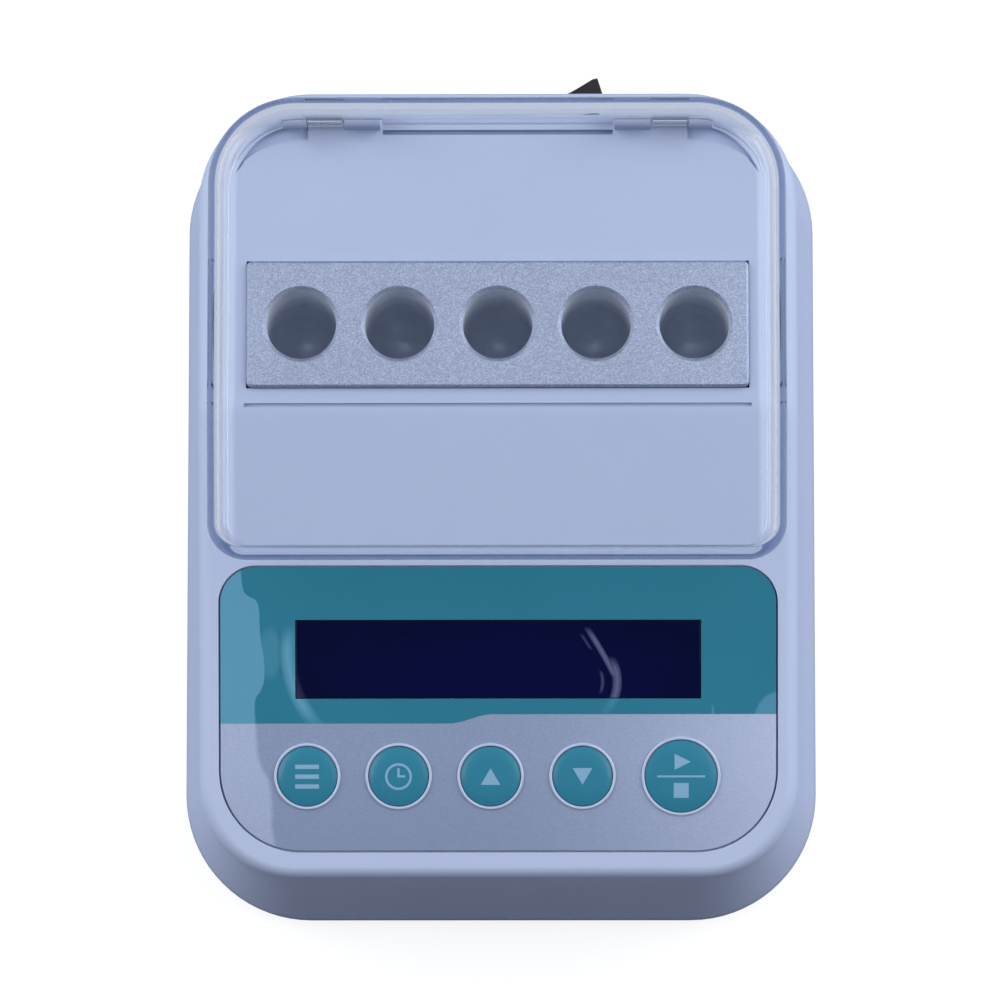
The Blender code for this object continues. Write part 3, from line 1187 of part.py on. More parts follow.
def make_inlet(shop):
    """Round power inlet with a centre pin, clamped to the rear wall by a hexagon nut."""
    back = -JACK_LENGTH
    floor = SWITCH_FLANGE_THICKNESS - JACK_BORE_DEPTH
    front = SWITCH_FLANGE_THICKNESS
    profile = [(0, front - 2 * GAP), (JACK_PIN_RADIUS, front - 2 * GAP), (JACK_PIN_RADIUS, floor),
               (JACK_BORE_RADIUS, floor), (JACK_BORE_RADIUS, front), (JACK_FLANGE_RADIUS, front),
               (JACK_FLANGE_RADIUS, GAP), (JACK_RADIUS, GAP), (JACK_RADIUS, back), (0, back)]
    turn = (-math.pi / 2, 0, 0)
    mesh = turned_mesh("power_inlet", profile)
    shop.add("power_inlet", mesh, "black_plastic", (JACK_X, 0, 0), turn, shop.rear)
    bm = bmesh.new()
    add_cylinder(bm, JACK_NUT_RADIUS, -JACK_NUT_THICKNESS / 2, JACK_NUT_THICKNESS / 2, steps=6)
    seat = -WALL - GAP - JACK_NUT_THICKNESS / 2
    nut = shop.add("inlet_nut", to_mesh("inlet_nut", bm), "nickel", (JACK_X, seat, 0), turn, shop.rear)
    hole = cylinder_mesh("nut_hole", JACK_RADIUS + GAP, -JACK_NUT_THICKNESS, JACK_NUT_THICKNESS)
    boolean(nut, shop.cutter("nut_hole", hole, (JACK_X, seat, 0), turn, shop.rear), "DIFFERENCE")


def smooth_route(points, spacing):
    """Evenly spaced points on a smooth curve through the route's own points."""
    places = [Vector(point) for point in points]
    ends = [2 * places[0] - places[1]] + places + [2 * places[-1] - places[-2]]
    route = []
    for before, start, end, after in zip(ends, ends[1:], ends[2:], ends[3:]):
        count = max(2, round((end - start).length / spacing))
        for step in range(count):
            share = step / count
            route.append(0.5 * ((2 * start) + (end - before) * share
                                + (2 * before - 5 * start + 4 * end - after) * share ** 2
                                + (3 * start - before - 3 * end + after) * share ** 3))
    return route + [places[-1]]


def make_lead(shop, name, material, points):
    curve = bpy.data.curves.new(name, "CURVE")
    curve.dimensions = "3D"
    curve.bevel_depth = LEAD_RADIUS
    curve.bevel_resolution = 2
    curve.use_fill_caps = True
    route = smooth_route(points, 5 * LEAD_RADIUS)
    spline = curve.splines.new("POLY")
    spline.points.add(len(route) - 1)
    for point, place in zip(spline.points, route):
        point.co = (*place, 1.0)
    lead = bpy.data.objects.new(name, curve)
    curve.materials.append(shop.materials[material])
    shop.parts.objects.link(lead)


def rear_point(x, out):
    """World place of a point in the rear wall's frame."""
    return Vector(rear_origin()) + Matrix.Rotation(rear_lean(), 3, "X") @ Vector((x, out, 0))


def make_leads(shop):
    """Leads clipped inside the casing, from the rear fittings and the block to the power board."""
    board_rear = POWER_BOARD_Y + POWER_BOARD_LENGTH / 2 - 2 * LEAD_RADIUS
    landing = POWER_BOARD_TOP + GAP + LEAD_RADIUS
    low = FLOOR_Z + 2 * LEAD_RADIUS
    block_rear = BLOCK_Y + BLOCK_DEPTH / 2
    clear_rear = block_rear + CARRIER_WALL + 4 * LEAD_RADIUS
    ahead = BLOCK_Y - BLOCK_DEPTH / 2 - LEAD_BOARD_RUN
    above = landing + LEAD_BOARD_RISE
    exit_bend = Vector((0, -LEAD_EXIT, -LEAD_EXIT_DROP))
    jack = rear_point(JACK_X, -JACK_LENGTH - GAP)
    make_lead(shop, "inlet_lead", "lead_red",
              [jack, jack + exit_bend, (JACK_X, clear_rear + LEAD_REAR_BOW, LEAD_BOW_Z),
               (JACK_X + LEAD_ASIDE, clear_rear, LEAD_TURN_Z), (JACK_X + 2 * LEAD_ASIDE, BLOCK_Y, low),
               (JACK_X + LEAD_ASIDE, ahead, above), (JACK_X, board_rear, landing)])
    switch = rear_point(SWITCH_X, -SWITCH_BODY_DEPTH - GAP)
    make_lead(shop, "switch_lead", "black_plastic",
              [switch, switch + exit_bend, (SWITCH_X, clear_rear + LEAD_REAR_BOW, LEAD_BOW_Z + LEAD_ASIDE),
               (SWITCH_X, clear_rear, LEAD_TURN_Z), (SWITCH_X, BLOCK_Y, low),
               (SWITCH_X, ahead, above), (SWITCH_X, board_rear, landing)])
    probe_end = block_rear - PROBE_INSERTION + PROBE_LENGTH + GAP
    for name, side in (("sensor_lead", 1), ("cutoff_lead", -1)):
        x = side * WELL_PITCH / 2
        make_lead(shop, name, "lead_red",
                  [(x, probe_end, probe_height()),
                   (x, probe_end + LEAD_EXIT, probe_height() - 2 * LEAD_EXIT_DROP),
                   (x * 0.8, clear_rear - LEAD_ASIDE, LEAD_TURN_Z + LEAD_ASIDE), (x * 0.6, BLOCK_Y, low),
                   (x * 0.6, ahead, above), (x * 0.6, board_rear, landing)])


def make_ribbon(shop):
    """Flat cable from the control board's underside down to the power board."""
    drop = CONTROL_BOARD_DEPTH + BOARD_THICKNESS + GAP
    _, start_y, start_z = deck_point(0, deck_run(PANEL_REAR_Y) - PANEL_OFFSET + RIBBON_OFFSET, -drop)
    foot = POWER_BOARD_TOP + GAP
    sag = (start_z + foot) / 2
    bow = RIBBON_BOW
    route = [(0, start_y, start_z), (0, start_y + bow / 3, start_z - bow / 2), (0, start_y + bow, sag),
             (0, start_y + bow / 3, foot + bow / 2), (0, start_y, foot)]
    path = smooth_route(route, 4 * RIBBON_THICKNESS)
    bm = bmesh.new()
    left = [bm.verts.new((-RIBBON_WIDTH / 2, point.y, point.z)) for point in path]
    right = [bm.verts.new((RIBBON_WIDTH / 2, point.y, point.z)) for point in path]
    for here in range(len(path) - 1):
        bm.faces.new((left[here], right[here], right[here + 1], left[here + 1]))
    ribbon = shop.add("ribbon_cable", to_mesh("ribbon_cable", bm), "ribbon_grey")
    thick = ribbon.modifiers.new("thickness", "SOLIDIFY")
    thick.thickness = RIBBON_THICKNESS
    thick.offset = 0.0


def main():
    clear_scene()
    shop = Workshop()
    make_upper_casing(shop)
    make_base_tray(shop)
    make_feet(shop)
    make_case_screws(shop)
    make_lid(shop)
    make_hinge_pins(shop)
    make_heating_block(shop)
    make_block_screws(shop)
    make_probes(shop)
    make_heater_pad(shop)
    make_block_carrier(shop)
    make_insulation_sleeve(shop)
    make_panel_overlay(shop)
    make_display_window(shop)
    make_keys(shop)
    make_display_module(shop)
    screw = make_control_board(shop)
    make_power_board(shop, screw)
    make_power_parts(shop)
    make_rocker_switch(shop)
    make_inlet(shop)
    make_leads(shop)
    make_ribbon(shop)


main()
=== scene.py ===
"""Looks of a block incubator for biological indicators: an add-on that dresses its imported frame."""

import json
import math
from collections import namedtuple
from functools import cache

import bmesh
import bpy
from bpy.props import FloatProperty, FloatVectorProperty, IntProperty, PointerProperty
from mathutils import Matrix, Vector


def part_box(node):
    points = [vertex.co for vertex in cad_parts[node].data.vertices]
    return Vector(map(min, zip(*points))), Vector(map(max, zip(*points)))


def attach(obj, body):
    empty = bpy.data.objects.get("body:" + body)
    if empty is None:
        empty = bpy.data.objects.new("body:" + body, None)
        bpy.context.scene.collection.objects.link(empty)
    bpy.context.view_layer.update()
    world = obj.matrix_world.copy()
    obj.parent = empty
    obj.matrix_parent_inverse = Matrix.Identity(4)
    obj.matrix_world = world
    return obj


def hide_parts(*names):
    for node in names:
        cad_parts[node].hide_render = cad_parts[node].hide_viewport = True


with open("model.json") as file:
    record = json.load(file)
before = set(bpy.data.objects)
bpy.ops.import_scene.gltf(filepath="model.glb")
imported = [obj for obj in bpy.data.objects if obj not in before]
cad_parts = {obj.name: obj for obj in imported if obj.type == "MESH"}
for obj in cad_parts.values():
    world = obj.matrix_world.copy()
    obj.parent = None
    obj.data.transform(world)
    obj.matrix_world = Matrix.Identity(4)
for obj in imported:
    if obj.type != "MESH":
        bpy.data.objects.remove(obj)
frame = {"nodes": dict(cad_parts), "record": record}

bl_info = {
    "name": "Block Incubator Looks",
    "version": (1, 0, 0),
    "blender": (4, 5, 0),
    "location": "3D View > Sidebar > Incubator",
    "description": "Dresses a block incubator's frame with its casing, lid, block, panel and stage",
    "category": "Object",
}

TINY = 1e-6
GAP = 0.0003
OVERCUT = 0.001
WHITE = (1.0, 1.0, 1.0, 1.0)

# Casing
BASE_HALF_WIDTH = 0.0548
BASE_FRONT = -0.071
BASE_REAR = 0.071
FRONT_RADIUS = 0.0219
REAR_RADIUS = 0.0215
DECK_FRONT_RADIUS = 0.0160
DECK_REAR_RADIUS = 0.0186
TOP_SIDE_INSET = 0.0046
TOP_FRONT_INSET = 0.0050
TOP_REAR_INSET = 0.0054
EDGE_RADIUS = 0.0022
WALL = 0.0024
UNDERSIDE = 0.0025
SKIRT = 0.0060
SKIRT_INSET = 0.0025
PARTING = 0.0078
WAIST = 0.024
WAIST_INSET = 0.0037
DECK = 0.058
FLOOR_TOP = 0.0047
TONGUE_HEIGHT = 0.0025
TONGUE_WALL = 0.0012
TRAY_SHADE = 0.93
FEET = ("foot_1", "foot_2", "foot_3", "foot_4")
TRAY_SCREWS = ("case_screw_1", "case_screw_2", "case_screw_3", "case_screw_4", "block_screw_left",
               "block_screw_right")

# Deck, level behind the bend and sloping in front of it
BEND_Y = 0.0117
BEND_RADIUS = 0.012
SLOPE = math.radians(9.0)
BEND_TANGENT = BEND_RADIUS * math.tan(SLOPE / 2)
BEND_HALF = BEND_RADIUS * SLOPE / 2

# Lid and hinge
LID_HALF_WIDTH = 0.0482
LID_FRONT = -0.0131
LID_REAR = 0.0625
LID_HEIGHT = 0.020
LID_FRONT_RADIUS = 0.0070
LID_REAR_RADIUS = 0.0150
LID_SIDE_ROUND = 0.0057
LID_FRONT_ROUND = 0.0015
LID_DRAFT = 0.0004
LID_FRONT_DRAFT = 0.0011
LID_WALL = 0.0020
HINGE_Y = 0.0615
HINGE_Z = 0.0613
KNUCKLE_RADIUS = 0.0025
PIN_BORE = 0.00115
EAR_X = 0.0288
EAR_WIDTH = 0.0058
INNER_KNUCKLE = (0.0196, 0.0256)
OUTER_KNUCKLE = (0.0320, 0.0360)
STOP_GROOVE = ((-0.0193, 0.0582, DECK - 0.0018), (0.0193, 0.0590, DECK + OVERCUT))
CREASE_GROOVE = ((-0.0424, 0.0123, DECK - 0.00075), (0.0424, 0.0129, DECK + OVERCUT))
POCKET_DEPTH = 0.0010
POCKET_WIDTH = 0.0024
POCKET_START = 0.0318

# Block and wells
BLOCK_TRIM = Vector((0.0008, 0, 0))
BLOCK_LOW, BLOCK_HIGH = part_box("heating_block")[0] + BLOCK_TRIM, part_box("heating_block")[1] - BLOCK_TRIM
BLOCK_GAP = 0.00008
BLOCK_CHAMFER = 0.00042
BLOCK_CORNER = 0.0010
WELL_PITCH = 0.01643
WELL_COUNT = 5
WELL_RADIUS = 0.00585
WELL_CHAMFER = 0.00055
WELL_SHOULDER = 0.0180
WELL_ROUND_STEPS = 16
WELL_DEPTH = 0.0305

# Panel, in the plane of the slope
PANEL_REAR = -0.0142
PANEL_WIDTH = 0.0930
PANEL_LENGTH = 0.0476
PANEL_REAR_RADIUS = 0.0060
PANEL_FRONT_RADIUS = 0.0134
PANEL_RECESS = 0.0009
PANEL_THICKNESS = 0.00055
WINDOW_WIDTH = 0.0679
WINDOW_HEIGHT = 0.0132
WINDOW_OFFSET = 0.0083
KEY_ROW = -0.0113
KEYS = (("menu", -0.0320, 0.0050), ("timer", -0.0167, 0.0050), ("up", -0.0013, 0.0050),
        ("down", 0.0141, 0.0050), ("start", 0.0306, 0.00605))
KEY_PROUD = 0.0005
KEY_CROWN = 0.00045
PRINT_RISE = 0.00003
KEY_FLANGE = 0.0011
KEY_FLANGE_THICKNESS = 0.0008
KEY_STEM = 0.0020
KEY_BOTTOM = -0.0050
KEY_EDGE = 0.00012
KEY_SHADE = 1.12
FILM_EDGE = 0.00006
WINDOW_EDGE = 0.00008
RIM_WIDTH = 0.00048
RIM_RISE = 0.00030

# Strip along the film's left edge where it lifts, shown with a painted reflection: its border as (share of
# the panel's length, share of the span across)
LIFT_SPAN = (-0.04340, -0.03501)
LIFT_SOFTNESS = ((-0.0050, 0.0010), (0.0008, 0.00018))
LIFT_BORDER = ((0.0, 0.76), (0.084, 0.65), (0.151, 0.65), (0.231, 0.61), (0.298, 0.44), (0.354, 0.36),
               (0.441, 0.33), (0.527, 0.32), (0.567, 0.44), (0.620, 0.51), (0.781, 0.42), (0.855, 0.40),
               (0.883, 0.34), (0.897, 0.20), (0.921, 0.09), (1.0, 0.04))

# Painted highlights along creases of the film, each (centre, side of it, radius, half width, lowest and
# highest place along the panel)
CRESCENT = ((-0.01640, 0.00988), -1.0, 0.01885, 0.00135, -0.0034, 0.0140)
# Painted shade beside the crescent's painted highlight
CRESCENT_SHADE = ((-0.01640, 0.00988), -1.0, 0.02035, 0.00035, 0.0050, 0.0138)
STREAK = ((-0.04077, -0.02377), 1.0, 0.06700, 0.00055, 0.0042, 0.0138)
STREAK_FOOT = ((0.01242, 0.00454), 1.0, 0.00750, 0.00085, -0.0014, 0.0088)
FAINT_STREAK = ((-0.04077, -0.02377), 1.0, 0.06562, 0.00030, 0.0098, 0.0126)
FAINT_FOOT = ((0.01242, 0.00454), 1.0, 0.00506, 0.00035, 0.0025, 0.0065)

# How strongly each painted crease highlight shows, and painted highlights as patches (centre, reach, softness
# of the edge) with their strength
CREASE_HIGHLIGHTS_ON_TEAL = ((CRESCENT, 1.0), (STREAK_FOOT, 0.35))
CREASE_HIGHLIGHTS_ON_WINDOW = ((STREAK, 0.95), (STREAK_FOOT, 0.90), (FAINT_STREAK, 0.30), (FAINT_FOOT, 0.40),
                     (CRESCENT, 0.25))
HIGHLIGHTS_ON_TEAL = ((((-0.0382, 0.0094), (0.0019, 0.0040), 0.5), 0.30),
                   (((0.0359, -0.0006), (0.00022, 0.0012), 0.6), 0.45),
                   (((0.0470, -0.0022), (0.0042, 0.0050), 0.15), 0.60))
# Strength of the painted reflection where the film lifts, on each field
LIFT_REFLECTION_ON_TEAL = 0.95
LIFT_REFLECTION_ON_SILVER = 0.66
FILM_GLOSS = 0.30
WINDOW_GLOSS = 0.07
WINDOW_GLOW = ((0.004, 0.0055), (0.026, 0.0075), 0.9)
WINDOW_GLOW_COLOUR = (0.0015, 0.0030, 0.0450, 1.0)
# Colour of the painted highlights along the creases over the window
WINDOW_CREASE_HIGHLIGHT = (0.105, 0.115, 0.235, 1.0)
SHADED_TEAL = (0.012, 0.085, 0.140, 1.0)

# Border of the two printed fields: (from, to) across the panel, and its place along it at either end
FIELD_STEP = ((-0.0082, -0.0010), (-0.00245, -0.00090))
FIELD_SHARPNESS = 12000.0

# Silver field: its brightness at two places along the panel, and the span across it that grows pale with a
# painted reflection
SILVER_FRONT_RAMP = ((-0.0240, -0.0060), (0.92, 1.0))
LIT_SPAN = (-0.0048, 0.0463)

# Symbols on the keys: bars as (left, low, right, high), and outlines
ARROWHEAD = ((-0.00165, -0.00140), (0.00165, -0.00140), (0.0, 0.00140))
SYMBOL_BARS = {
    "menu": [(-0.0020, level - 0.00036, 0.0020, level + 0.00036) for level in (-0.00165, 0.0, 0.00165)],
    "timer": [(-0.00020, -0.00015, 0.00020, 0.00140), (0.00020, -0.00015, 0.00115, 0.00022)],
    "start": [(-0.0040, -0.00016, 0.0040, 0.00016), (-0.00125, -0.00360, 0.00125, -0.00110)]}
SYMBOL_OUTLINES = {"up": ARROWHEAD, "down": ARROWHEAD,
                   "start": ((-0.00110, 0.00110), (0.00160, 0.00245), (-0.00110, 0.00380))}
CLOCK_FACE = (0.00185, 0.00225)

# Rear wall fittings
FITTING_Z = 0.0410
SWITCH_X = 0.0123
SWITCH_HALF = (0.0070, 0.0046)
SWITCH_DEPTH = 0.0120
SWITCH_POCKET = 0.0060
SWITCH_FLANGE = 0.0010
FLANGE_OUT = 0.0006
SWITCH_WALL = 0.0007
ROCKER_TILT = math.radians(12.0)
ROCKER_HALF = 0.0055
ROCKER_THICKNESS = 0.0072
ROCKER_TIP = 0.0041
ROCKER_LOW_TIP = 0.0035
ROCKER_REACH = 0.0055
ROCKER_FOOT = 0.0059
ROCKER_MIDDLE = 0.0024
ROCKER_FOLD = 0.12
ROCKER_STRAIGHT = 0.85
PIVOT_DEPTH = 0.0010
TRUNNION = 0.0007
JACK_X = -0.0180
JACK_RADIUS = 0.0045
JACK_FLANGE_RADIUS = 0.0062
JACK_LENGTH = 0.0120
JACK_BORE = 0.0032
JACK_BORE_DEPTH = 0.0090
JACK_PIN = 0.0010
JACK_EDGE = 0.0003
SWITCH_EDGE = 0.00020
ROCKER_EDGE = 0.00018

# Facets and shading
CORNER_STEPS = 18
ROUND_STEPS = 64
SMALL_ROUND_STEPS = 32
FOOT_EDGE_STEPS = 4
KEY_CROWN_STEPS = 14
KEY_EDGE_STEPS = 4
RIM_STEPS = 6
ROCKER_STEPS = 12
BEND_LINES = 7
SHARP_ANGLE = math.radians(30.0)
LID_SHARP_ANGLE = math.radians(40.0)
BLOCK_SHARP_ANGLE = math.radians(24.0)
BEVEL_ANGLE = math.radians(38.0)
FACE_WEIGHT = 80
GLOSS_SWING = 0.12

# Clear plastic: light that has turned this often inside it goes straight on with a tint
TRAPPED_DEPTH = 1.5
TRAPPED_TINT = (0.70, 0.74, 0.81, 1.0)
DIM_REFLECTION = (0.40, 0.42, 0.46, 1.0)

Outline = namedtuple("Outline", "half front rear across along rear_radius")
Place = namedtuple("Place", "side zone u v")


def deck_point(x, run, rise=0.0):
    """Point over the deck: run goes along its surface from the bend, and rise stands square to it."""
    if run >= BEND_HALF:
        return Vector((x, BEND_Y + BEND_TANGENT + run - BEND_HALF, DECK + rise))
    tilt = min((BEND_HALF - run) / BEND_RADIUS, SLOPE)
    beyond = min(run + BEND_HALF, 0.0)
    y = BEND_Y + BEND_TANGENT - BEND_RADIUS * math.sin(tilt) + beyond * math.cos(SLOPE)
    z = DECK - BEND_RADIUS * (1 - math.cos(tilt)) + beyond * math.sin(SLOPE)
    return Vector((x, y - rise * math.sin(tilt), z + rise * math.cos(tilt)))


def deck_run(y):
    """Distance along the deck, from the bend, of the place at y."""
    if y >= BEND_Y:
        return y - BEND_Y - BEND_TANGENT + BEND_HALF
    arc_end = BEND_Y + BEND_TANGENT - BEND_RADIUS * math.sin(SLOPE)
    return (y - arc_end) / math.cos(SLOPE) - BEND_HALF


def rear_lean():
    return math.atan2(TOP_REAR_INSET - WAIST_INSET, DECK - EDGE_RADIUS - WAIST)


def rear_matrix():
    y = BASE_REAR - WAIST_INSET - (FITTING_Z - WAIST) * math.tan(rear_lean())
    return Matrix.Translation((0, y, FITTING_Z)) @ Matrix.Rotation(rear_lean(), 4, "X")


def panel_matrix():
    origin = deck_point(0.0, deck_run(PANEL_REAR) - PANEL_LENGTH / 2)
    return Matrix.Translation(origin) @ Matrix.Rotation(SLOPE, 4, "X")


# Solids from bmesh operators

def add_box(bm, low, high, matrix=Matrix()):
    size = [b - a for a, b in zip(low, high)]
    centre = [(a + b) / 2 for a, b in zip(low, high)]
    place = matrix @ Matrix.Translation(centre) @ Matrix.Diagonal((*size, 1.0))
    bmesh.ops.create_cube(bm, size=1.0, matrix=place)


def add_rod(bm, radius, low, high, matrix=Matrix(), steps=ROUND_STEPS):
    place = matrix @ Matrix.Translation((0, 0, (low + high) / 2))
    bmesh.ops.create_cone(bm, cap_ends=True, segments=steps, radius1=radius, radius2=radius,
                          depth=high - low, matrix=place)


def add_turned(bm, profile, matrix=Matrix()):
    """Spin a profile of (radius, height) points about Z into a closed solid."""
    before = set(bm.verts)
    points = [bm.verts.new((radius, 0, height)) for radius, height in profile]
    edges = [bm.edges.new(pair) for pair in zip(points, points[1:])]
    if profile[0][0] > TINY:
        edges.append(bm.edges.new((points[-1], points[0])))
    bmesh.ops.spin(bm, geom=points + edges, cent=(0, 0, 0), axis=(0, 0, 1), angle=math.tau,
                   steps=ROUND_STEPS, use_merge=True)
    bmesh.ops.remove_doubles(bm, verts=[vert for vert in bm.verts if vert not in before], dist=TINY)
    bmesh.ops.transform(bm, matrix=matrix, verts=[vert for vert in bm.verts if vert not in before])


def grow_face(bm, face, height):
    """Extrude a face by this height along Z."""
    grown = bmesh.ops.extrude_face_region(bm, geom=[face])["geom"]
    top = [item for item in grown if isinstance(item, bmesh.types.BMVert)]
    bmesh.ops.translate(bm, vec=(0, 0, height), verts=top)
    return top


def add_plate(bm, points, low, high, matrix=Matrix()):
    """Extrude a flat outline of (x, y) points from low to high."""
    face = bm.faces.new([bm.verts.new((x, y, low)) for x, y in points])
    top = grow_face(bm, face, high - low)
    bmesh.ops.transform(bm, matrix=matrix, verts=list(face.verts) + top)


def solid(add, *values):
    """New solid, made by one of these functions."""
    bm = bmesh.new()
    add(bm, *values)
    return bm


def rounded_face(bm, outline):
    """Plan with rounded corners, from a square whose corners are bevelled."""
    for vert in bmesh.ops.create_grid(bm, x_segments=1, y_segments=1, size=1.0)["verts"]:
        y = outline.front if vert.co.y < 0 else outline.rear
        vert.co = (math.copysign(outline.half, vert.co.x), y, 0)
    for level, radius in ((outline.front, outline.along), (outline.rear, outline.rear_radius)):
        corners = [vert for vert in bm.verts
                   if abs(vert.co.y - level) < TINY and abs(abs(vert.co.x) - outline.half) < TINY]
        bmesh.ops.bevel(bm, geom=corners, offset=radius, offset_type="OFFSET", segments=CORNER_STEPS,
                        profile=0.5, affect="VERTICES", material=-1)
    return bm.faces[:][0]


def panel_plate(margin, low, thickness):
    """Solid with the panel's rounded plan, in its place on the slope."""
    bm = bmesh.new()
    half = PANEL_LENGTH / 2 + margin
    front = PANEL_FRONT_RADIUS + margin
    face = rounded_face(bm, Outline(PANEL_WIDTH / 2 + margin, -half, half, front, front,
                                    PANEL_REAR_RADIUS + margin))
    grow_face(bm, face, thickness)
    bmesh.ops.translate(bm, vec=(0, 0, low), verts=bm.verts)
    bmesh.ops.transform(bm, matrix=panel_matrix(), verts=bm.verts)
    return bm


def split_sides(bm, outline, runs):
    """Split both straight sides of the plan at these runs, and its face across them."""
    for run in runs:
        ends = []
        for side in (-1, 1):
            edge = next(edge for edge in bm.edges
                        if all(abs(vert.co.x - side * outline.half) < TINY for vert in edge.verts)
                        and min(vert.co.y for vert in edge.verts) < run - TINY
                        and max(vert.co.y for vert in edge.verts) > run + TINY)
            low = edge.verts[0] if edge.verts[0].co.y < edge.verts[1].co.y else edge.verts[1]
            length = edge.other_vert(low).co.y - low.co.y
            ends.append(bmesh.utils.edge_split(edge, low, (run - low.co.y) / length)[1])
        face = next(face for face in ends[0].link_faces if ends[1] in face.verts)
        bmesh.utils.face_split(face, ends[0], ends[1])


def place_of(vert, outline):
    """Where a vertex of the plan lies: in a front corner, in a rear corner or on a straight side."""
    side = 1 if vert.co.x > 0 else -1
    x, y = abs(vert.co.x), vert.co.y
    if y <= outline.front + outline.along + TINY:
        return Place(side, "front", (x - outline.half + outline.along) / outline.along,
                     (y - outline.front - outline.along) / outline.along)
    if y >= outline.rear - outline.rear_radius - TINY:
        return Place(side, "rear", (x - outline.half + outline.rear_radius) / outline.rear_radius,
                     (y - outline.rear + outline.rear_radius) / outline.rear_radius)
    return Place(side, "side", 1.0, y)


def on_outline(place, outline):
    if place.zone == "front":
        return (place.side * (outline.half - outline.across + place.u * outline.across),
                outline.front + outline.along + place.v * outline.along)
    if place.zone == "rear":
        return (place.side * (outline.half - outline.rear_radius + place.u * outline.rear_radius),
                outline.rear - outline.rear_radius + place.v * outline.rear_radius)
    return place.side * outline.half, place.v


def sweep_shell(outline, stations):
    """Extrude a rounded plan through its stations, each a function from a place to a point, and close it."""
    bm = bmesh.new()
    runs = [BEND_HALF * (2 * number / (BEND_LINES - 1) - 1) for number in range(BEND_LINES)]
    rounded_face(bm, outline)
    split_sides(bm, outline, runs)
    ring = {vert: place_of(vert, outline) for vert in bm.verts}
    edges = [edge for edge in bm.edges if edge.is_boundary]
    for vert, place in ring.items():
        vert.co = stations[0](place)
    for station in stations[1:]:
        made = bmesh.ops.extrude_edge_only(bm, edges=edges)["geom"]
        fresh = {}
        for vert in made:
            if isinstance(vert, bmesh.types.BMVert):
                near = [edge.other_vert(vert) for edge in vert.link_edges]
                root = next(other for other in near if other in ring)
                fresh[vert] = ring[root]
        for vert, place in fresh.items():
            vert.co = station(place)
        edges = [edge for edge in made if isinstance(edge, bmesh.types.BMEdge)
                 and all(vert in fresh for vert in edge.verts)]
        ring = fresh
    bmesh.ops.contextual_create(bm, geom=edges)
    for run in runs:
        ends = [vert for vert, place in ring.items() if place.zone == "side" and abs(place.v - run) < TINY]
        face = next(face for face in ends[0].link_faces if ends[1] in face.verts)
        bmesh.utils.face_split(face, ends[0], ends[1])
    bmesh.ops.recalc_face_normals(bm, faces=bm.faces)
    return bm


# Objects

def shade(mesh, angle=SHARP_ANGLE):
    mesh.shade_smooth()
    mesh.set_sharp_from_angle(angle=angle)


def make_object(name, bm, material=None):
    bmesh.ops.recalc_face_normals(bm, faces=bm.faces)
    mesh = bpy.data.meshes.new(name)
    bm.to_mesh(mesh)
    bm.free()
    shade(mesh)
    piece = bpy.data.objects.new(name, mesh)
    bpy.context.scene.collection.objects.link(piece)
    if material:
        mesh.materials.append(material)
    return piece


def carve(piece, steps):
    """Apply Boolean steps of (operation, bmesh) to a piece."""
    tools = []
    for number, (operation, bm) in enumerate(steps):
        tool = make_object(f"{piece.name}_tool_{number}", bm)
        modifier = piece.modifiers.new(tool.name, "BOOLEAN")
        modifier.operation = operation
        modifier.solver = "EXACT"
        modifier.object = tool
        tools.append(tool)
    settle(piece)
    for tool in tools:
        bpy.data.objects.remove(tool, do_unlink=True)


def settle(piece):
    """Keep the mesh that the piece's modifiers make."""
    graph = bpy.context.evaluated_depsgraph_get()
    mesh = bpy.data.meshes.new_from_object(piece.evaluated_get(graph), depsgraph=graph)
    piece.modifiers.clear()
    piece.data = mesh


def even_out(piece):
    """Let the large faces lead the shading."""
    even = piece.modifiers.new("shading", "WEIGHTED_NORMAL")
    even.keep_sharp = True
    return even


def soften(piece, width, segments=2):
    """Round the piece's hard edges and even out its shading."""
    bevel = piece.modifiers.new("edges", "BEVEL")
    bevel.width = width
    bevel.segments = segments
    bevel.limit_method = "ANGLE"
    bevel.angle_limit = BEVEL_ANGLE
    bevel.use_clamp_overlap = True
    bevel.harden_normals = False
    settle(piece)
    shade(piece.data)
    even_out(piece).weight = FACE_WEIGHT


def dress(piece, body, slot, *nodes):
    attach(piece, body)
    if nodes:
        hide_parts(*nodes)


# Shader node groups

def open_group(name, inputs, outputs):
    """New group with float sockets, or colour ones where a value is a tuple, and its two ends."""
    group = bpy.data.node_groups.new(name, "ShaderNodeTree")
    for key, value in inputs.items():
        kind = "NodeSocketColor" if isinstance(value, tuple) else "NodeSocketFloat"
        made = group.interface.new_socket(name=key, in_out="INPUT", socket_type=kind)
        made.default_value = value
    for key in outputs:
        kind = "NodeSocketColor" if key == "Colour" else "NodeSocketFloat"
        group.interface.new_socket(name=key, in_out="OUTPUT", socket_type=kind)
    return group, node(group, "NodeGroupInput").outputs, node(group, "NodeGroupOutput").inputs


def node(tree, kind, **values):
    made = tree.nodes.new(kind)
    for key, value in values.items():
        setattr(made, key, value)
    return made


def feed(tree, source, target):
    """Give a socket its value, or the link that brings it."""
    if isinstance(source, bpy.types.NodeSocket):
        tree.links.new(source, target)
    else:
        target.default_value = source


def object_place(tree):
    return node(tree, "ShaderNodeTexCoord").outputs["Object"]


def noise(tree, scale, detail=3.0, rough=0.5):
    made = node(tree, "ShaderNodeTexNoise")
    values = {"Detail": detail, "Roughness": rough, "Scale": scale, "Vector": object_place(tree)}
    for key, value in values.items():
        feed(tree, value, made.inputs[key])
    return made.outputs[0]


def maths(tree, operation, first, second=None, clamp=False):
    made = node(tree, "ShaderNodeMath", operation=operation, use_clamp=clamp)
    feed(tree, first, made.inputs[0])
    if second is not None:
        feed(tree, second, made.inputs[1])
    return made.outputs[0]


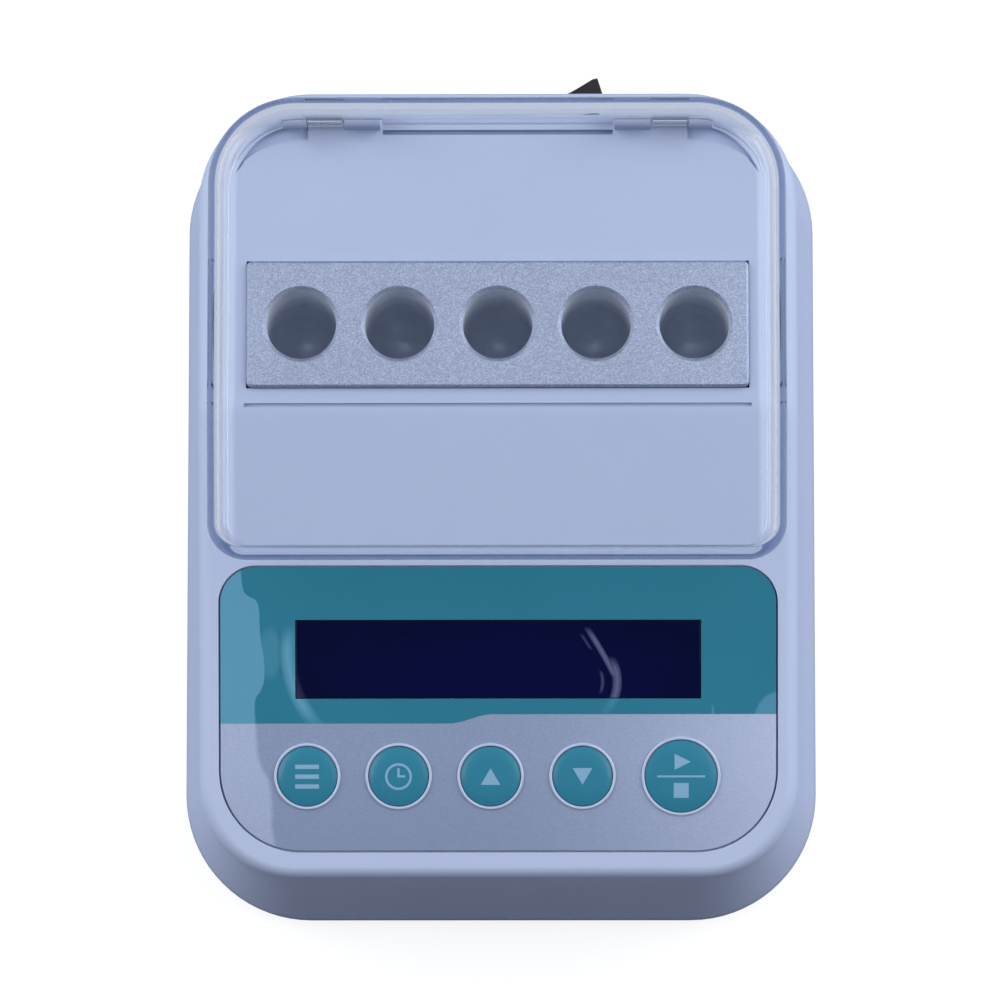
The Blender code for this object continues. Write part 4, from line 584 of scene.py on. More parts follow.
def scaled(tree, colour, factor):
    made = node(tree, "ShaderNodeVectorMath", operation="SCALE")
    feed(tree, colour, made.inputs[0])
    feed(tree, factor, made.inputs["Scale"])
    return made.outputs[0]


def mix_colours(tree, factor, first, second):
    made = node(tree, "ShaderNodeMix", data_type="RGBA")
    for index, value in ((0, factor), (6, first), (7, second)):
        feed(tree, value, made.inputs[index])
    return made.outputs[2]


def map_range(tree, value, source, result, kind="SMOOTHSTEP"):
    made = node(tree, "ShaderNodeMapRange", interpolation_type=kind)
    for name, number in zip(("From Min", "From Max", "To Min", "To Max"), (*source, *result)):
        made.inputs[name].default_value = number
    tree.links.new(value, made.inputs["Value"])
    return made.outputs[0]


def show_mix(tree, factor, first, second, ending="Material Output"):
    """Mix two shaders and show the result."""
    mix = node(tree, "ShaderNodeMixShader")
    for index, value in enumerate((factor, first, second)):
        tree.links.new(value, mix.inputs[index])
    tree.links.new(mix.outputs[0], tree.nodes[ending].inputs["Surface"])


def build_drift_group():
    """Slow unevenness of a moulded or cast surface's colour and gloss."""
    group, put, leave = open_group(
        "surface_drift", {"Colour": (0.5, 0.5, 0.5, 1.0), "Amount": 0.04, "Scale": 60.0, "Roughness": 0.4},
        ("Colour", "Roughness"))
    swing = maths(group, "SUBTRACT", noise(group, put["Scale"]), 0.5)
    level = maths(group, "ADD", maths(group, "MULTIPLY", swing, put["Amount"]), 1.0)
    group.links.new(scaled(group, put["Colour"], level), leave["Colour"])
    rough = maths(group, "ADD", put["Roughness"], maths(group, "MULTIPLY", swing, GLOSS_SWING), clamp=True)
    group.links.new(rough, leave["Roughness"])
    return group


def build_grain_group():
    """Fine grain: a height for bump and a mask of its high spots."""
    group, put, leave = open_group("fine_grain", {"Scale": 4000.0}, ("Height", "Spots"))
    fine = noise(group, put["Scale"], 4.0, 0.65)
    group.links.new(fine, leave["Height"])
    group.links.new(map_range(group, fine, (0.42, 0.70), (0.0, 1.0), "LINEAR"), leave["Spots"])
    return group


def build_crease_group():
    """Band along an arc in the panel's plane: the mask for painted highlights and painted shade along a
    crease in the film.
    """
    names = ("Across", "Along", "Centre across", "Centre along", "Side", "Radius", "Half width", "Low",
             "High")
    group, put, leave = open_group("film_crease_highlight", {name: 0.0 for name in names}, ("Mask",))
    over = maths(group, "SUBTRACT", put["Across"], put["Centre across"])
    up = maths(group, "SUBTRACT", put["Along"], put["Centre along"])
    squares = maths(group, "ADD", maths(group, "MULTIPLY", over, over), maths(group, "MULTIPLY", up, up))
    off = maths(group, "ABSOLUTE", maths(group, "SUBTRACT", maths(group, "SQRT", squares), put["Radius"]))
    band = maths(group, "SUBTRACT", 1.0, maths(group, "DIVIDE", off, put["Half width"]), clamp=True)
    span = maths(group, "SUBTRACT", put["High"], put["Low"])
    share = maths(group, "DIVIDE", maths(group, "SUBTRACT", put["Along"], put["Low"]), span, clamp=True)
    swell = maths(group, "MULTIPLY", share, maths(group, "SUBTRACT", 1.0, share))
    ends = maths(group, "MULTIPLY", swell, 6.0, clamp=True)
    near = maths(group, "GREATER_THAN", maths(group, "MULTIPLY", over, put["Side"]), 0.0)
    shown = maths(group, "MULTIPLY", ends, near)
    group.links.new(maths(group, "MULTIPLY", maths(group, "POWER", band, 0.7), shown), leave["Mask"])
    return group


def place_group(tree, group, **values):
    """Put a group into a material; in a socket's name, an underscore stands for a space."""
    made = node(tree, "ShaderNodeGroup", node_tree=group)
    for key, value in values.items():
        feed(tree, value, made.inputs[key.replace("_", " ")])
    return made.outputs


def add_bump(tree, shader, height, strength, distance):
    bump = node(tree, "ShaderNodeBump")
    for key, value in (("Strength", strength), ("Distance", distance), ("Height", height)):
        feed(tree, value, bump.inputs[key])
    tree.links.new(bump.outputs[0], shader.inputs["Normal"])


def blank_material(name, roughness, metallic=0.0, **sockets):
    """Material with these values on its shader; in a socket's name, an underscore stands for a space."""
    material = bpy.data.materials.new(name)
    material.use_nodes = True
    shader = material.node_tree.nodes["Principled BSDF"]
    shader.inputs["Roughness"].default_value = roughness
    shader.inputs["Metallic"].default_value = metallic
    for key, value in sockets.items():
        shader.inputs[key.replace("_", " ")].default_value = value
    return material, material.node_tree, shader


def paint(tree, shader, colour, cloud):
    """Give a shader its colour, and the gloss that drifts with its cloud."""
    tree.links.new(colour, shader.inputs["Base Color"])
    tree.links.new(cloud["Roughness"], shader.inputs["Roughness"])


class Finishes:
    """The materials, each built once."""

    def __init__(self):
        self.drift = build_drift_group()
        self.grain = build_grain_group()
        self.crease = build_crease_group()
        self.made = {}

    def surface(self, name, colour, roughness, metallic=0.0, drift=0.04, drift_scale=60.0, grain=4000.0,
                bump=0.0, depth=0.00002, speckle=0.0, **sockets):
        """A surface with slow drift of its colour and gloss, fine grain, and speckle where it has one."""
        if name in self.made:
            return self.made[name]
        material, tree, shader = blank_material(name, roughness, metallic, **sockets)
        cloud = place_group(tree, self.drift, Colour=(*colour, 1.0), Amount=drift, Scale=drift_scale,
                            Roughness=roughness)
        fine = place_group(tree, self.grain, Scale=grain)
        tint = cloud["Colour"]
        if speckle:
            level = maths(tree, "MULTIPLY", maths(tree, "SUBTRACT", fine["Spots"], 0.4), speckle)
            tint = scaled(tree, tint, maths(tree, "ADD", level, 1.0))
        paint(tree, shader, tint, cloud)
        if bump:
            add_bump(tree, shader, fine["Height"], bump, depth)
        self.made[name] = material
        return material


@cache
def finishes():
    """The one set of materials."""
    return Finishes()


# Settings

def colour_property(name, description, default):
    return FloatVectorProperty(name=name, description=description, subtype="COLOR", size=3, default=default)


class CasingSettings(bpy.types.PropertyGroup):
    colour: colour_property("Colour", "Colour of the moulded casing", (0.405, 0.475, 0.680))
    edge_steps: IntProperty(name="Edge steps", description="Facets across the deck's rounded edge", default=7)
    crease: FloatProperty(name="Opening edges", description="Round along the casing's openings",
                          default=0.00022, unit="LENGTH")


class LidSettings(bpy.types.PropertyGroup):
    tint: colour_property("Tint", "Tint of the clear plastic", (0.948, 0.953, 0.960))
    index: FloatProperty(name="Index", description="Refractive index of the clear plastic", default=1.49)
    steps: IntProperty(name="Round steps", description="Facets across the lid's rounded edge", default=12)


class BlockSettings(bpy.types.PropertyGroup):
    colour: colour_property("Colour", "Colour of the blasted metal", (0.300, 0.343, 0.455))
    bore_colour: colour_property("Bore colour", "Colour of the machined wells", (0.76, 0.80, 0.88))


class PanelSettings(bpy.types.PropertyGroup):
    teal: colour_property("Teal", "Colour of the printed upper field", (0.024, 0.165, 0.255))
    # Lifted teal and lifted silver are painted reflections on the film where it lifts
    lift_reflection_teal: colour_property("Lifted teal", "Upper field where air lies under the film",
                                 (0.100, 0.290, 0.430))
    silver: colour_property("Silver", "Colour of the printed lower field", (0.225, 0.280, 0.430))
    lift_reflection_silver: colour_property("Lifted silver", "Lower field where air lies under the film",
                                   (0.400, 0.460, 0.660))
    # The rims' pale colour is partly their own and partly a painted highlight
    rim_colour_and_sheen: colour_property("Rims", "Colour of the rims round the keys", (0.400, 0.470, 0.670))
    print_colour: colour_property("Print", "Colour of the symbols on the keys", (0.19, 0.36, 0.53))
    glass: colour_property("Window", "Colour of the display window", (0.0012, 0.0028, 0.0300))


class StageSettings(bpy.types.PropertyGroup):
    distance: FloatProperty(name="Distance", description="From the camera to the object", default=1.05,
                            unit="LENGTH")
    tilt: FloatProperty(name="Tilt", description="Camera's lean to the front from straight above",
                        default=math.radians(6.5), subtype="ANGLE")
    side: FloatProperty(name="Side", description="Camera's lean to the right", default=math.radians(0.6),
                        subtype="ANGLE")
    roll: FloatProperty(name="Roll", description="Camera's turn about its own axis", default=0.0,
                        subtype="ANGLE")
    level: FloatProperty(name="Light", description="Level of the studio light", default=1.0)


class IncubatorSettings(bpy.types.PropertyGroup):
    casing: PointerProperty(type=CasingSettings)
    lid: PointerProperty(type=LidSettings)
    block: PointerProperty(type=BlockSettings)
    panel: PointerProperty(type=PanelSettings)
    stage: PointerProperty(type=StageSettings)


# Casing and tray

def base_outline(inset):
    return Outline(BASE_HALF_WIDTH - inset, BASE_FRONT + inset, BASE_REAR - inset, FRONT_RADIUS - inset,
                   FRONT_RADIUS - inset, REAR_RADIUS - inset)


def flat_station(height, inset):
    """Ring at one height, where the sides' split points follow the bend's lines."""
    outline = base_outline(inset)

    def point(place):
        x, y = on_outline(place, outline)
        if place.zone == "side":
            y = deck_point(0, place.v)[1]
        return (x, y, height)
    return point


def flared_inset(height, inset):
    return inset + WAIST_INSET * (height - SKIRT) / (WAIST - SKIRT)


def deck_outline(inset):
    front = DECK_FRONT_RADIUS - inset
    return Outline(BASE_HALF_WIDTH - TOP_SIDE_INSET - inset, deck_run(BASE_FRONT + TOP_FRONT_INSET) + inset,
                   deck_run(BASE_REAR - TOP_REAR_INSET) - inset, front, front, DECK_REAR_RADIUS - inset)


def level_station(outline, rise):
    """Ring that follows the deck at one height over it."""
    def point(place):
        x, run = on_outline(place, outline)
        return deck_point(x, run, rise)
    return point


def deck_station(inset, drop):
    return level_station(deck_outline(inset), -drop)


def casing_stations(steps):
    stations = []
    for step in range(steps + 1):
        turn = math.pi / 2 * (1 - step / steps)
        stations.append(deck_station(EDGE_RADIUS * (1 - math.cos(turn)), EDGE_RADIUS * (1 - math.sin(turn))))
    for height, inset in ((WAIST, 0.0), (PARTING, 0.0), (PARTING, WALL), (WAIST, WALL)):
        stations.append(flat_station(height, flared_inset(height, inset)))
    stations.append(deck_station(WALL, WALL + EDGE_RADIUS))
    stations.append(deck_station(WALL + OVERCUT, WALL))
    return stations


def hinge_line():
    return Matrix.Translation((0, HINGE_Y, HINGE_Z)) @ Matrix.Rotation(math.pi / 2, 4, "Y")


def add_pocket(bm, side):
    """Shallow crescent inside the lid's rear corner."""
    reach = LID_HALF_WIDTH - LID_WALL - LID_DRAFT - GAP
    back = LID_REAR - LID_WALL - LID_DRAFT - GAP
    radius = LID_REAR_RADIUS - LID_WALL
    outer, inner = [], []
    for step in range(CORNER_STEPS + 1):
        share = step / CORNER_STEPS
        turn = math.pi / 2 * (1 - share * 0.75)
        width = POCKET_WIDTH * (1 - share ** 2)
        outer.append((reach - radius + radius * math.cos(turn), back - radius + radius * math.sin(turn)))
        inner.append((reach - radius + (radius - width) * math.cos(turn),
                      back - radius + (radius - width) * math.sin(turn)))
    points = [(POCKET_START, back), *outer, *reversed(inner[:-1]), (POCKET_START, back - POCKET_WIDTH)]
    add_plate(bm, [(side * x, y) for x, y in points], DECK - POCKET_DEPTH, DECK + OVERCUT)


def casing_cuts():
    bm = bmesh.new()
    add_box(bm, (BLOCK_LOW.x - BLOCK_GAP, BLOCK_LOW.y - BLOCK_GAP, DECK - 2 * WALL),
            (BLOCK_HIGH.x + BLOCK_GAP, BLOCK_HIGH.y + BLOCK_GAP, DECK + 2 * WALL))
    add_box(bm, *STOP_GROOVE)
    add_box(bm, *CREASE_GROOVE)
    for side in (-1, 1):
        add_pocket(bm, side)
    return bm


def panel_holes(reach):
    """Window and key openings, right through."""
    bm = bmesh.new()
    add_box(bm, (-WINDOW_WIDTH / 2, WINDOW_OFFSET - WINDOW_HEIGHT / 2, -reach),
            (WINDOW_WIDTH / 2, WINDOW_OFFSET + WINDOW_HEIGHT / 2, reach), panel_matrix())
    for _, x, radius in KEYS:
        add_rod(bm, radius + GAP, -reach, reach, panel_matrix() @ Matrix.Translation((x, KEY_ROW, 0)))
    return bm


def rear_openings():
    bm = bmesh.new()
    half_x, half_z = SWITCH_HALF
    add_box(bm, (SWITCH_X - half_x - GAP, -3 * WALL, -half_z - GAP),
            (SWITCH_X + half_x + GAP, 3 * WALL, half_z + GAP), rear_matrix())
    turn = Matrix.Translation((JACK_X, 0, 0)) @ Matrix.Rotation(math.pi / 2, 4, "X")
    add_rod(bm, JACK_RADIUS + GAP, -3 * WALL, 3 * WALL, rear_matrix() @ turn)
    return bm


def knuckle_spans():
    return [sorted((side * span[0], side * span[1])) for side in (-1, 1)
            for span in (INNER_KNUCKLE, OUTER_KNUCKLE)]


def hinge_knuckles():
    bm = bmesh.new()
    for low, high in knuckle_spans():
        add_rod(bm, KNUCKLE_RADIUS, low, high, hinge_line())
    return bm


def knuckle_feet():
    """Feet of the knuckles, which sink into the deck."""
    bm = bmesh.new()
    for low, high in knuckle_spans():
        add_box(bm, (low, HINGE_Y - KNUCKLE_RADIUS, DECK - WALL / 2),
                (high, HINGE_Y + KNUCKLE_RADIUS, HINGE_Z))
    return bm


def pin_bores(low, high):
    bm = bmesh.new()
    for side in (-1, 1):
        add_rod(bm, PIN_BORE, *sorted((side * low, side * high)), hinge_line(), SMALL_ROUND_STEPS)
    return bm


class INCUBATOR_OT_casing(bpy.types.Operator):
    """Moulded upper casing: flared walls, bent deck, hinge knuckles and its openings"""
    bl_idname = "incubator.casing"
    bl_label = "Casing"

    def execute(self, context):
        settings = context.scene.incubator.casing
        bm = sweep_shell(deck_outline(EDGE_RADIUS), casing_stations(settings.edge_steps))
        white = finishes().surface("moulded_white", tuple(settings.colour), 0.50, drift=0.03, bump=0.05,
                                   grain=2500.0, Specular_IOR_Level=0.30)
        casing = make_object("moulded_casing", bm, white)
        carve(casing, [("UNION", knuckle_feet()), ("UNION", hinge_knuckles()),
                       ("DIFFERENCE", casing_cuts()),
                       ("DIFFERENCE", panel_plate(GAP, -PANEL_RECESS, OVERCUT + PANEL_RECESS)),
                       ("DIFFERENCE", panel_holes(3 * WALL)), ("DIFFERENCE", rear_openings()),
                       ("DIFFERENCE", pin_bores(INNER_KNUCKLE[0] + 2 * GAP, OUTER_KNUCKLE[1] + OVERCUT))])
        soften(casing, settings.crease)
        dress(casing, "housing", "casing_white", "upper_casing")
        return {"FINISHED"}


def tray_stations():
    tongue = WALL + GAP
    rim = PARTING - GAP
    inner = tongue + TONGUE_WALL
    top = PARTING + TONGUE_HEIGHT
    third = SKIRT_INSET / 3
    return [flat_station(UNDERSIDE, SKIRT_INSET), flat_station(UNDERSIDE + third / 2, SKIRT_INSET / 2),
            flat_station(UNDERSIDE + third, third), flat_station(SKIRT, 0.0),
            flat_station(rim, flared_inset(rim, 0.0)), flat_station(rim, flared_inset(rim, tongue)),
            flat_station(top, flared_inset(top, tongue)), flat_station(top, flared_inset(top, inner)),
            flat_station(FLOOR_TOP, inner)]


def round_node(name):
    """Radius, top and place on the floor of a round upright node."""
    low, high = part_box(name)
    middle = (low + high) / 2
    return (high.x - low.x) / 2, high.z, Matrix.Translation((middle.x, middle.y, 0))


def tray_cuts():
    bm = bmesh.new()
    for name in FEET:
        radius, top, place = round_node(name)
        add_rod(bm, radius + GAP, -OVERCUT, top + GAP, place)
    for name in TRAY_SCREWS:
        radius, _, place = round_node(name)
        add_rod(bm, radius + GAP, -OVERCUT, FLOOR_TOP + OVERCUT, place, SMALL_ROUND_STEPS)
    return bm


class INCUBATOR_OT_tray(bpy.types.Operator):
    """Base tray with its foot recesses, and the four rubber feet"""
    bl_idname = "incubator.tray"
    bl_label = "Tray and feet"

    def execute(self, context):
        settings = context.scene.incubator.casing
        bm = sweep_shell(base_outline(SKIRT_INSET), tray_stations())
        white = finishes().surface("tray_white", tuple(part * TRAY_SHADE for part in settings.colour), 0.55,
                                   drift=0.03, bump=0.08, grain=2000.0, Specular_IOR_Level=0.30)
        tray = make_object("moulded_tray", bm, white)
        carve(tray, [("DIFFERENCE", tray_cuts())])
        soften(tray, settings.crease)
        dress(tray, "housing", "tray_white", "base_tray")
        rubber = finishes().surface("foot_rubber", (0.022, 0.022, 0.024), 0.82, drift=0.15, bump=0.25,
                                    grain=1500.0)
        for name in FEET:
            radius, top, place = round_node(name)
            edge = radius / 8
            profile = [(0, top), (radius, top), (radius, edge)]
            for step in range(1, FOOT_EDGE_STEPS + 1):
                turn = math.pi / 2 * step / FOOT_EDGE_STEPS
                profile.append((radius - edge * (1 - math.cos(turn)), edge * (1 - math.sin(turn))))
            profile += [(radius * 0.55, 0), (radius * 0.45, edge), (0, edge)]
            foot = make_object(f"rubber_{name}", solid(add_turned, profile, place), rubber)
            dress(foot, "housing", "rubber_black", name)
        return {"FINISHED"}


# Lid

def lid_outline(side_inset, front_inset):
    across = max(LID_FRONT_RADIUS - side_inset, LID_FRONT_RADIUS / 10)
    return Outline(LID_HALF_WIDTH - side_inset, deck_run(LID_FRONT) + front_inset,
                   deck_run(LID_REAR) - side_inset, across, LID_FRONT_RADIUS - front_inset,
                   LID_REAR_RADIUS - side_inset)


def lid_station(offset, share, height, side_round, front_round):
    """Ring of the lid's skin: share runs from 0 at the wall to 1 where the round meets the top."""
    turn = math.pi / 2 * share
    outline = lid_outline(offset + LID_DRAFT + side_round * (1 - math.cos(turn)),
                          offset + LID_FRONT_DRAFT + front_round * (1 - math.cos(turn)))

    def point(place):
        x, run = on_outline(place, outline)
        way = place.u ** 2 if place.zone == "front" else 1.0
        radius = front_round + (side_round - front_round) * way
        return deck_point(x, run, height - radius * (1 - math.sin(turn)))
    return point


def lid_stations(steps):
    shares = [1 - step / steps for step in range(steps + 1)]
    stations = [lid_station(0.0, share, LID_HEIGHT, LID_SIDE_ROUND, LID_FRONT_ROUND) for share in shares]
    stations += [level_station(lid_outline(offset, offset), GAP) for offset in (0.0, LID_WALL)]
    stations += [lid_station(LID_WALL, share, LID_HEIGHT - LID_WALL, LID_SIDE_ROUND - LID_WALL,
                             LID_FRONT_ROUND / 3) for share in reversed(shares)]
    return stations


def lid_notches():
    bm = bmesh.new()
    for side in (-1, 1):
        left, right = sorted((side * (INNER_KNUCKLE[0] - GAP), side * (OUTER_KNUCKLE[1] + GAP)))
        add_box(bm, (left, LID_REAR - 2 * LID_WALL, DECK - OVERCUT),
                (right, LID_REAR + OVERCUT, HINGE_Z + KNUCKLE_RADIUS + 2 * GAP))
    return bm


def lid_ears():
    """Rounded ears that reach down from the rear wall to the hinge line."""
    bm = bmesh.new()
    steps = ROUND_STEPS // 2
    points = []
    for step in range(steps + 1):
        turn = math.pi + math.pi * step / steps
        points.append((HINGE_Y + KNUCKLE_RADIUS * math.cos(turn), HINGE_Z + KNUCKLE_RADIUS * math.sin(turn)))
    top = HINGE_Z + KNUCKLE_RADIUS + LID_WALL
    points += [(LID_REAR - LID_DRAFT - GAP, top), (LID_REAR - LID_WALL, top)]
    stand = Matrix(((0, 0, 1, 0), (1, 0, 0, 0), (0, 1, 0, 0), (0, 0, 0, 1)))
    for side in (-1, 1):
        add_plate(bm, points, side * EAR_X - EAR_WIDTH / 2, side * EAR_X + EAR_WIDTH / 2, stand)
    return bm


def clear_material(name, tint, index):
    """Clear plastic that lets shadow rays through, so that what it covers stays lit."""
    material, tree, shader = blank_material(name, 0.0, IOR=index, Transmission_Weight=1.0,
                                            Base_Color=(*tint, 1.0), Specular_Tint=DIM_REFLECTION)
    path = node(tree, "ShaderNodeLightPath").outputs
    shadow = maths(tree, "MAXIMUM", path["Is Shadow Ray"], path["Is Diffuse Ray"])
    trapped = maths(tree, "GREATER_THAN", path["Glossy Depth"], TRAPPED_DEPTH)
    through = node(tree, "ShaderNodeBsdfTransparent")
    tree.links.new(mix_colours(tree, trapped, (*tint, 1.0), TRAPPED_TINT), through.inputs[0])
    show_mix(tree, maths(tree, "MAXIMUM", shadow, trapped), shader.outputs[0], through.outputs[0])
    return material


class INCUBATOR_OT_lid(bpy.types.Operator):
    """Clear lid that follows the deck's bend, with wide rounds at its sides and rear"""
    bl_idname = "incubator.lid"
    bl_label = "Clear lid"

    def execute(self, context):
        settings = context.scene.incubator.lid
        bm = sweep_shell(lid_outline(0.0, 0.0), lid_stations(settings.steps))
        clear = clear_material("clear_plastic", tuple(settings.tint), settings.index)
        lid = make_object("clear_lid", bm, clear)
        carve(lid, [("DIFFERENCE", lid_notches()), ("UNION", lid_ears()),
                    ("DIFFERENCE", pin_bores(EAR_X - EAR_WIDTH, EAR_X + EAR_WIDTH))])
        shade(lid.data, LID_SHARP_ANGLE)
        even_out(lid)
        dress(lid, "lid", "clear_plastic", "lid")
        return {"FINISHED"}


# Heating block

def well_middles():
    """Middles of the wells' mouths."""
    y = (BLOCK_LOW.y + BLOCK_HIGH.y) / 2
    return [Vector(((number - (WELL_COUNT - 1) / 2) * WELL_PITCH, y, BLOCK_HIGH.z))
            for number in range(WELL_COUNT)]


def well_cutter():
    bm = bmesh.new()
    mouth = WELL_RADIUS + WELL_CHAMFER
    profile = [(0, OVERCUT), (mouth, OVERCUT), (mouth, 0), (WELL_RADIUS, -WELL_CHAMFER)]
    for step in range(WELL_ROUND_STEPS):
        turn = math.pi / 2 * step / WELL_ROUND_STEPS
        profile.append((WELL_RADIUS * math.cos(turn),
                        -WELL_SHOULDER - (WELL_DEPTH - WELL_SHOULDER) * math.sin(turn)))
    profile.append((0, -WELL_DEPTH))
    for middle in well_middles():
        add_turned(bm, profile, Matrix.Translation(middle))
    return bm


def bevel_edges(bm, width, segments, chosen):
    """Bevel the edges whose two ends, as places, are chosen."""
    edges = [edge for edge in bm.edges if chosen(*(vert.co for vert in edge.verts))]
    bmesh.ops.bevel(bm, geom=edges, offset=width, segments=segments, profile=0.5, affect="EDGES", material=-1)


class INCUBATOR_OT_block(bpy.types.Operator):
    """Blasted aluminium block with its row of machined wells"""
    bl_idname = "incubator.block"
    bl_label = "Heating block"

    def execute(self, context):
        settings = context.scene.incubator.block
        bm = solid(add_box, BLOCK_LOW, BLOCK_HIGH)
        bevel_edges(bm, BLOCK_CORNER, 4, lambda a, b: abs(a.z - b.z) > BLOCK_CHAMFER)
        bevel_edges(bm, BLOCK_CHAMFER, 1, lambda a, b: min(a.z, b.z) > BLOCK_HIGH.z - TINY)
        blasted = finishes().surface("blasted_aluminium", tuple(settings.colour), 0.55, 0.80, drift=0.05,
                                     drift_scale=90.0, grain=4300.0, bump=0.40, depth=0.00005, speckle=0.66)
        bored = finishes().surface("bored_aluminium", tuple(settings.bore_colour), 0.42, 0.40, drift=0.45,
                                   drift_scale=200.0, grain=900.0, bump=0.10)
        block = make_object("wells_block", bm, blasted)
        carve(block, [("DIFFERENCE", well_cutter())])
        block.data.materials.append(bored)
        for face in block.data.polygons:
            near = min((face.center.xy - middle.xy).length for middle in well_middles())
            if near < WELL_RADIUS + TINY and face.center.z < BLOCK_HIGH.z - WELL_CHAMFER * 0.9:
                face.material_index = 1
        shade(block.data, BLOCK_SHARP_ANGLE)
        dress(block, "housing", "sandblasted_aluminium", "heating_block")
        return {"FINISHED"}


# Control panel

class PanelPlane:
    """The panel's plane in one material: the place across and along it, and masks of what shows there."""

    def __init__(self, tree):
        self.tree = tree
        turned = node(tree, "ShaderNodeMapping", vector_type="TEXTURE")
        turned.inputs["Location"].default_value = panel_matrix().translation
        turned.inputs["Rotation"].default_value = (SLOPE, 0, 0)
        tree.links.new(object_place(tree), turned.inputs[0])
        split = node(tree, "ShaderNodeSeparateXYZ")
        tree.links.new(turned.outputs[0], split.inputs[0])
        self.across, self.along = split.outputs[0], split.outputs[1]

    def crease(self, centre, side, radius, half_width, low, high):
        return place_group(self.tree, finishes().crease, Across=self.across, Along=self.along,
                           Centre_across=centre[0], Centre_along=centre[1], Side=side, Radius=radius,
                           Half_width=half_width, Low=low, High=high)["Mask"]

    def patch(self, centre, reach, edge):
        """Ellipse with a soft edge."""
        tree = self.tree
        over = maths(tree, "DIVIDE", maths(tree, "SUBTRACT", self.across, centre[0]), reach[0])
        up = maths(tree, "DIVIDE", maths(tree, "SUBTRACT", self.along, centre[1]), reach[1])
        squares = maths(tree, "ADD", maths(tree, "MULTIPLY", over, over), maths(tree, "MULTIPLY", up, up))
        return map_range(tree, squares, (1.0 + edge, 1.0 - edge), (0.0, 1.0))

    def lift_reflection(self):
        """Strip along the film's left edge where it has come away, with an uneven border: the mask of a
        painted reflection.
        """
        tree = self.tree
        border = node(tree, "ShaderNodeFloatCurve")
        curve = border.mapping.curves[0]
        curve.points[0].location = LIFT_BORDER[0]
        curve.points[1].location = LIFT_BORDER[-1]
        for place in LIFT_BORDER[1:-1]:
            curve.points.new(*place)
        border.mapping.update()
        ends = (-PANEL_LENGTH / 2, PANEL_LENGTH / 2)
        tree.links.new(map_range(tree, self.along, ends, (0.0, 1.0), "LINEAR"), border.inputs["Value"])
        edge = map_range(tree, border.outputs[0], (0.0, 1.0), LIFT_SPAN, "LINEAR")
        softness = map_range(tree, self.along, *LIFT_SOFTNESS)
        inward = maths(tree, "SUBTRACT", edge, self.across)
        return maths(tree, "ADD", maths(tree, "DIVIDE", inward, softness), 0.5, clamp=True)

    def painted_highlights(self, masks=(), creases=(), patches=()):
        """Highest of these painted highlights, each a mask, a crease or a patch with its strength."""
        masks = list(masks)
        masks += [(self.crease(*crease), strength) for crease, strength in creases]
        masks += [(self.patch(*patch), strength) for patch, strength in patches]
        total = 0.0
        for mask, strength in masks:
            total = maths(self.tree, "MAXIMUM", total, maths(self.tree, "MULTIPLY", mask, strength))
        return total


def overlay_material(settings):
    """Printed film: a teal field above, a silver field below, and painted highlights where the film lifts or
    is creased.
    """
    material, tree, shader = blank_material("printed_film", FILM_GLOSS, Coat_Weight=0.05, Coat_Roughness=0.10,
                                            Specular_IOR_Level=0.22)
    plane = PanelPlane(tree)
    over = maths(tree, "SUBTRACT", plane.along, map_range(tree, plane.across, *FIELD_STEP))
    field = maths(tree, "ADD", maths(tree, "MULTIPLY", over, FIELD_SHARPNESS), 0.5, clamp=True)
    # Painted reflection along the film's lifted left edge
    lift_reflection = plane.lift_reflection()
    # Painted reflection: the silver grows pale towards the right
    lit = maths(tree, "POWER", map_range(tree, plane.across, LIT_SPAN, (0.0, 1.0), "LINEAR"), 1.8)
    silver_highlights = plane.painted_highlights([(lift_reflection, LIFT_REFLECTION_ON_SILVER), (lit, 1.0)])
    silver = mix_colours(tree, silver_highlights, (*settings.silver, 1.0), (*settings.lift_reflection_silver, 1.0))
    fine = place_group(tree, finishes().grain, Scale=3200.0)
    sparkle = maths(tree, "ADD", maths(tree, "MULTIPLY", fine["Spots"], 0.16), 0.94)
    # Silver field darker towards the panel's front edge
    front_ramp = map_range(tree, plane.along, *SILVER_FRONT_RAMP)
    silver = scaled(tree, silver, maths(tree, "MULTIPLY", sparkle, front_ramp))
    cloud = place_group(tree, finishes().drift, Colour=(*settings.teal, 1.0), Amount=0.10, Scale=45.0,
                        Roughness=FILM_GLOSS)
    # Painted shade beside the crescent crease
    shadow = maths(tree, "MULTIPLY", plane.crease(*CRESCENT_SHADE), 0.30)
    teal = mix_colours(tree, shadow, cloud["Colour"], SHADED_TEAL)
    teal_highlights = plane.painted_highlights([(lift_reflection, LIFT_REFLECTION_ON_TEAL)], CREASE_HIGHLIGHTS_ON_TEAL, HIGHLIGHTS_ON_TEAL)
    teal = mix_colours(tree, teal_highlights, teal, (*settings.lift_reflection_teal, 1.0))
    paint(tree, shader, mix_colours(tree, field, silver, teal), cloud)
    return material


def window_material(settings):
    """Dark navy window, its middle a little bluer, with painted highlights along the film's creases over it.
    """
    material, tree, shader = blank_material("display_glass_dark", WINDOW_GLOSS, Specular_IOR_Level=0.25)
    plane = PanelPlane(tree)
    cloud = place_group(tree, finishes().drift, Colour=(*settings.glass, 1.0), Amount=0.8, Scale=30.0,
                        Roughness=WINDOW_GLOSS)
    glow = maths(tree, "MULTIPLY", plane.patch(*WINDOW_GLOW), 0.6)
    deep = mix_colours(tree, glow, cloud["Colour"], WINDOW_GLOW_COLOUR)
    painted_highlights = plane.painted_highlights(creases=CREASE_HIGHLIGHTS_ON_WINDOW)
    paint(tree, shader, mix_colours(tree, painted_highlights, deep, WINDOW_CREASE_HIGHLIGHT), cloud)
    return material


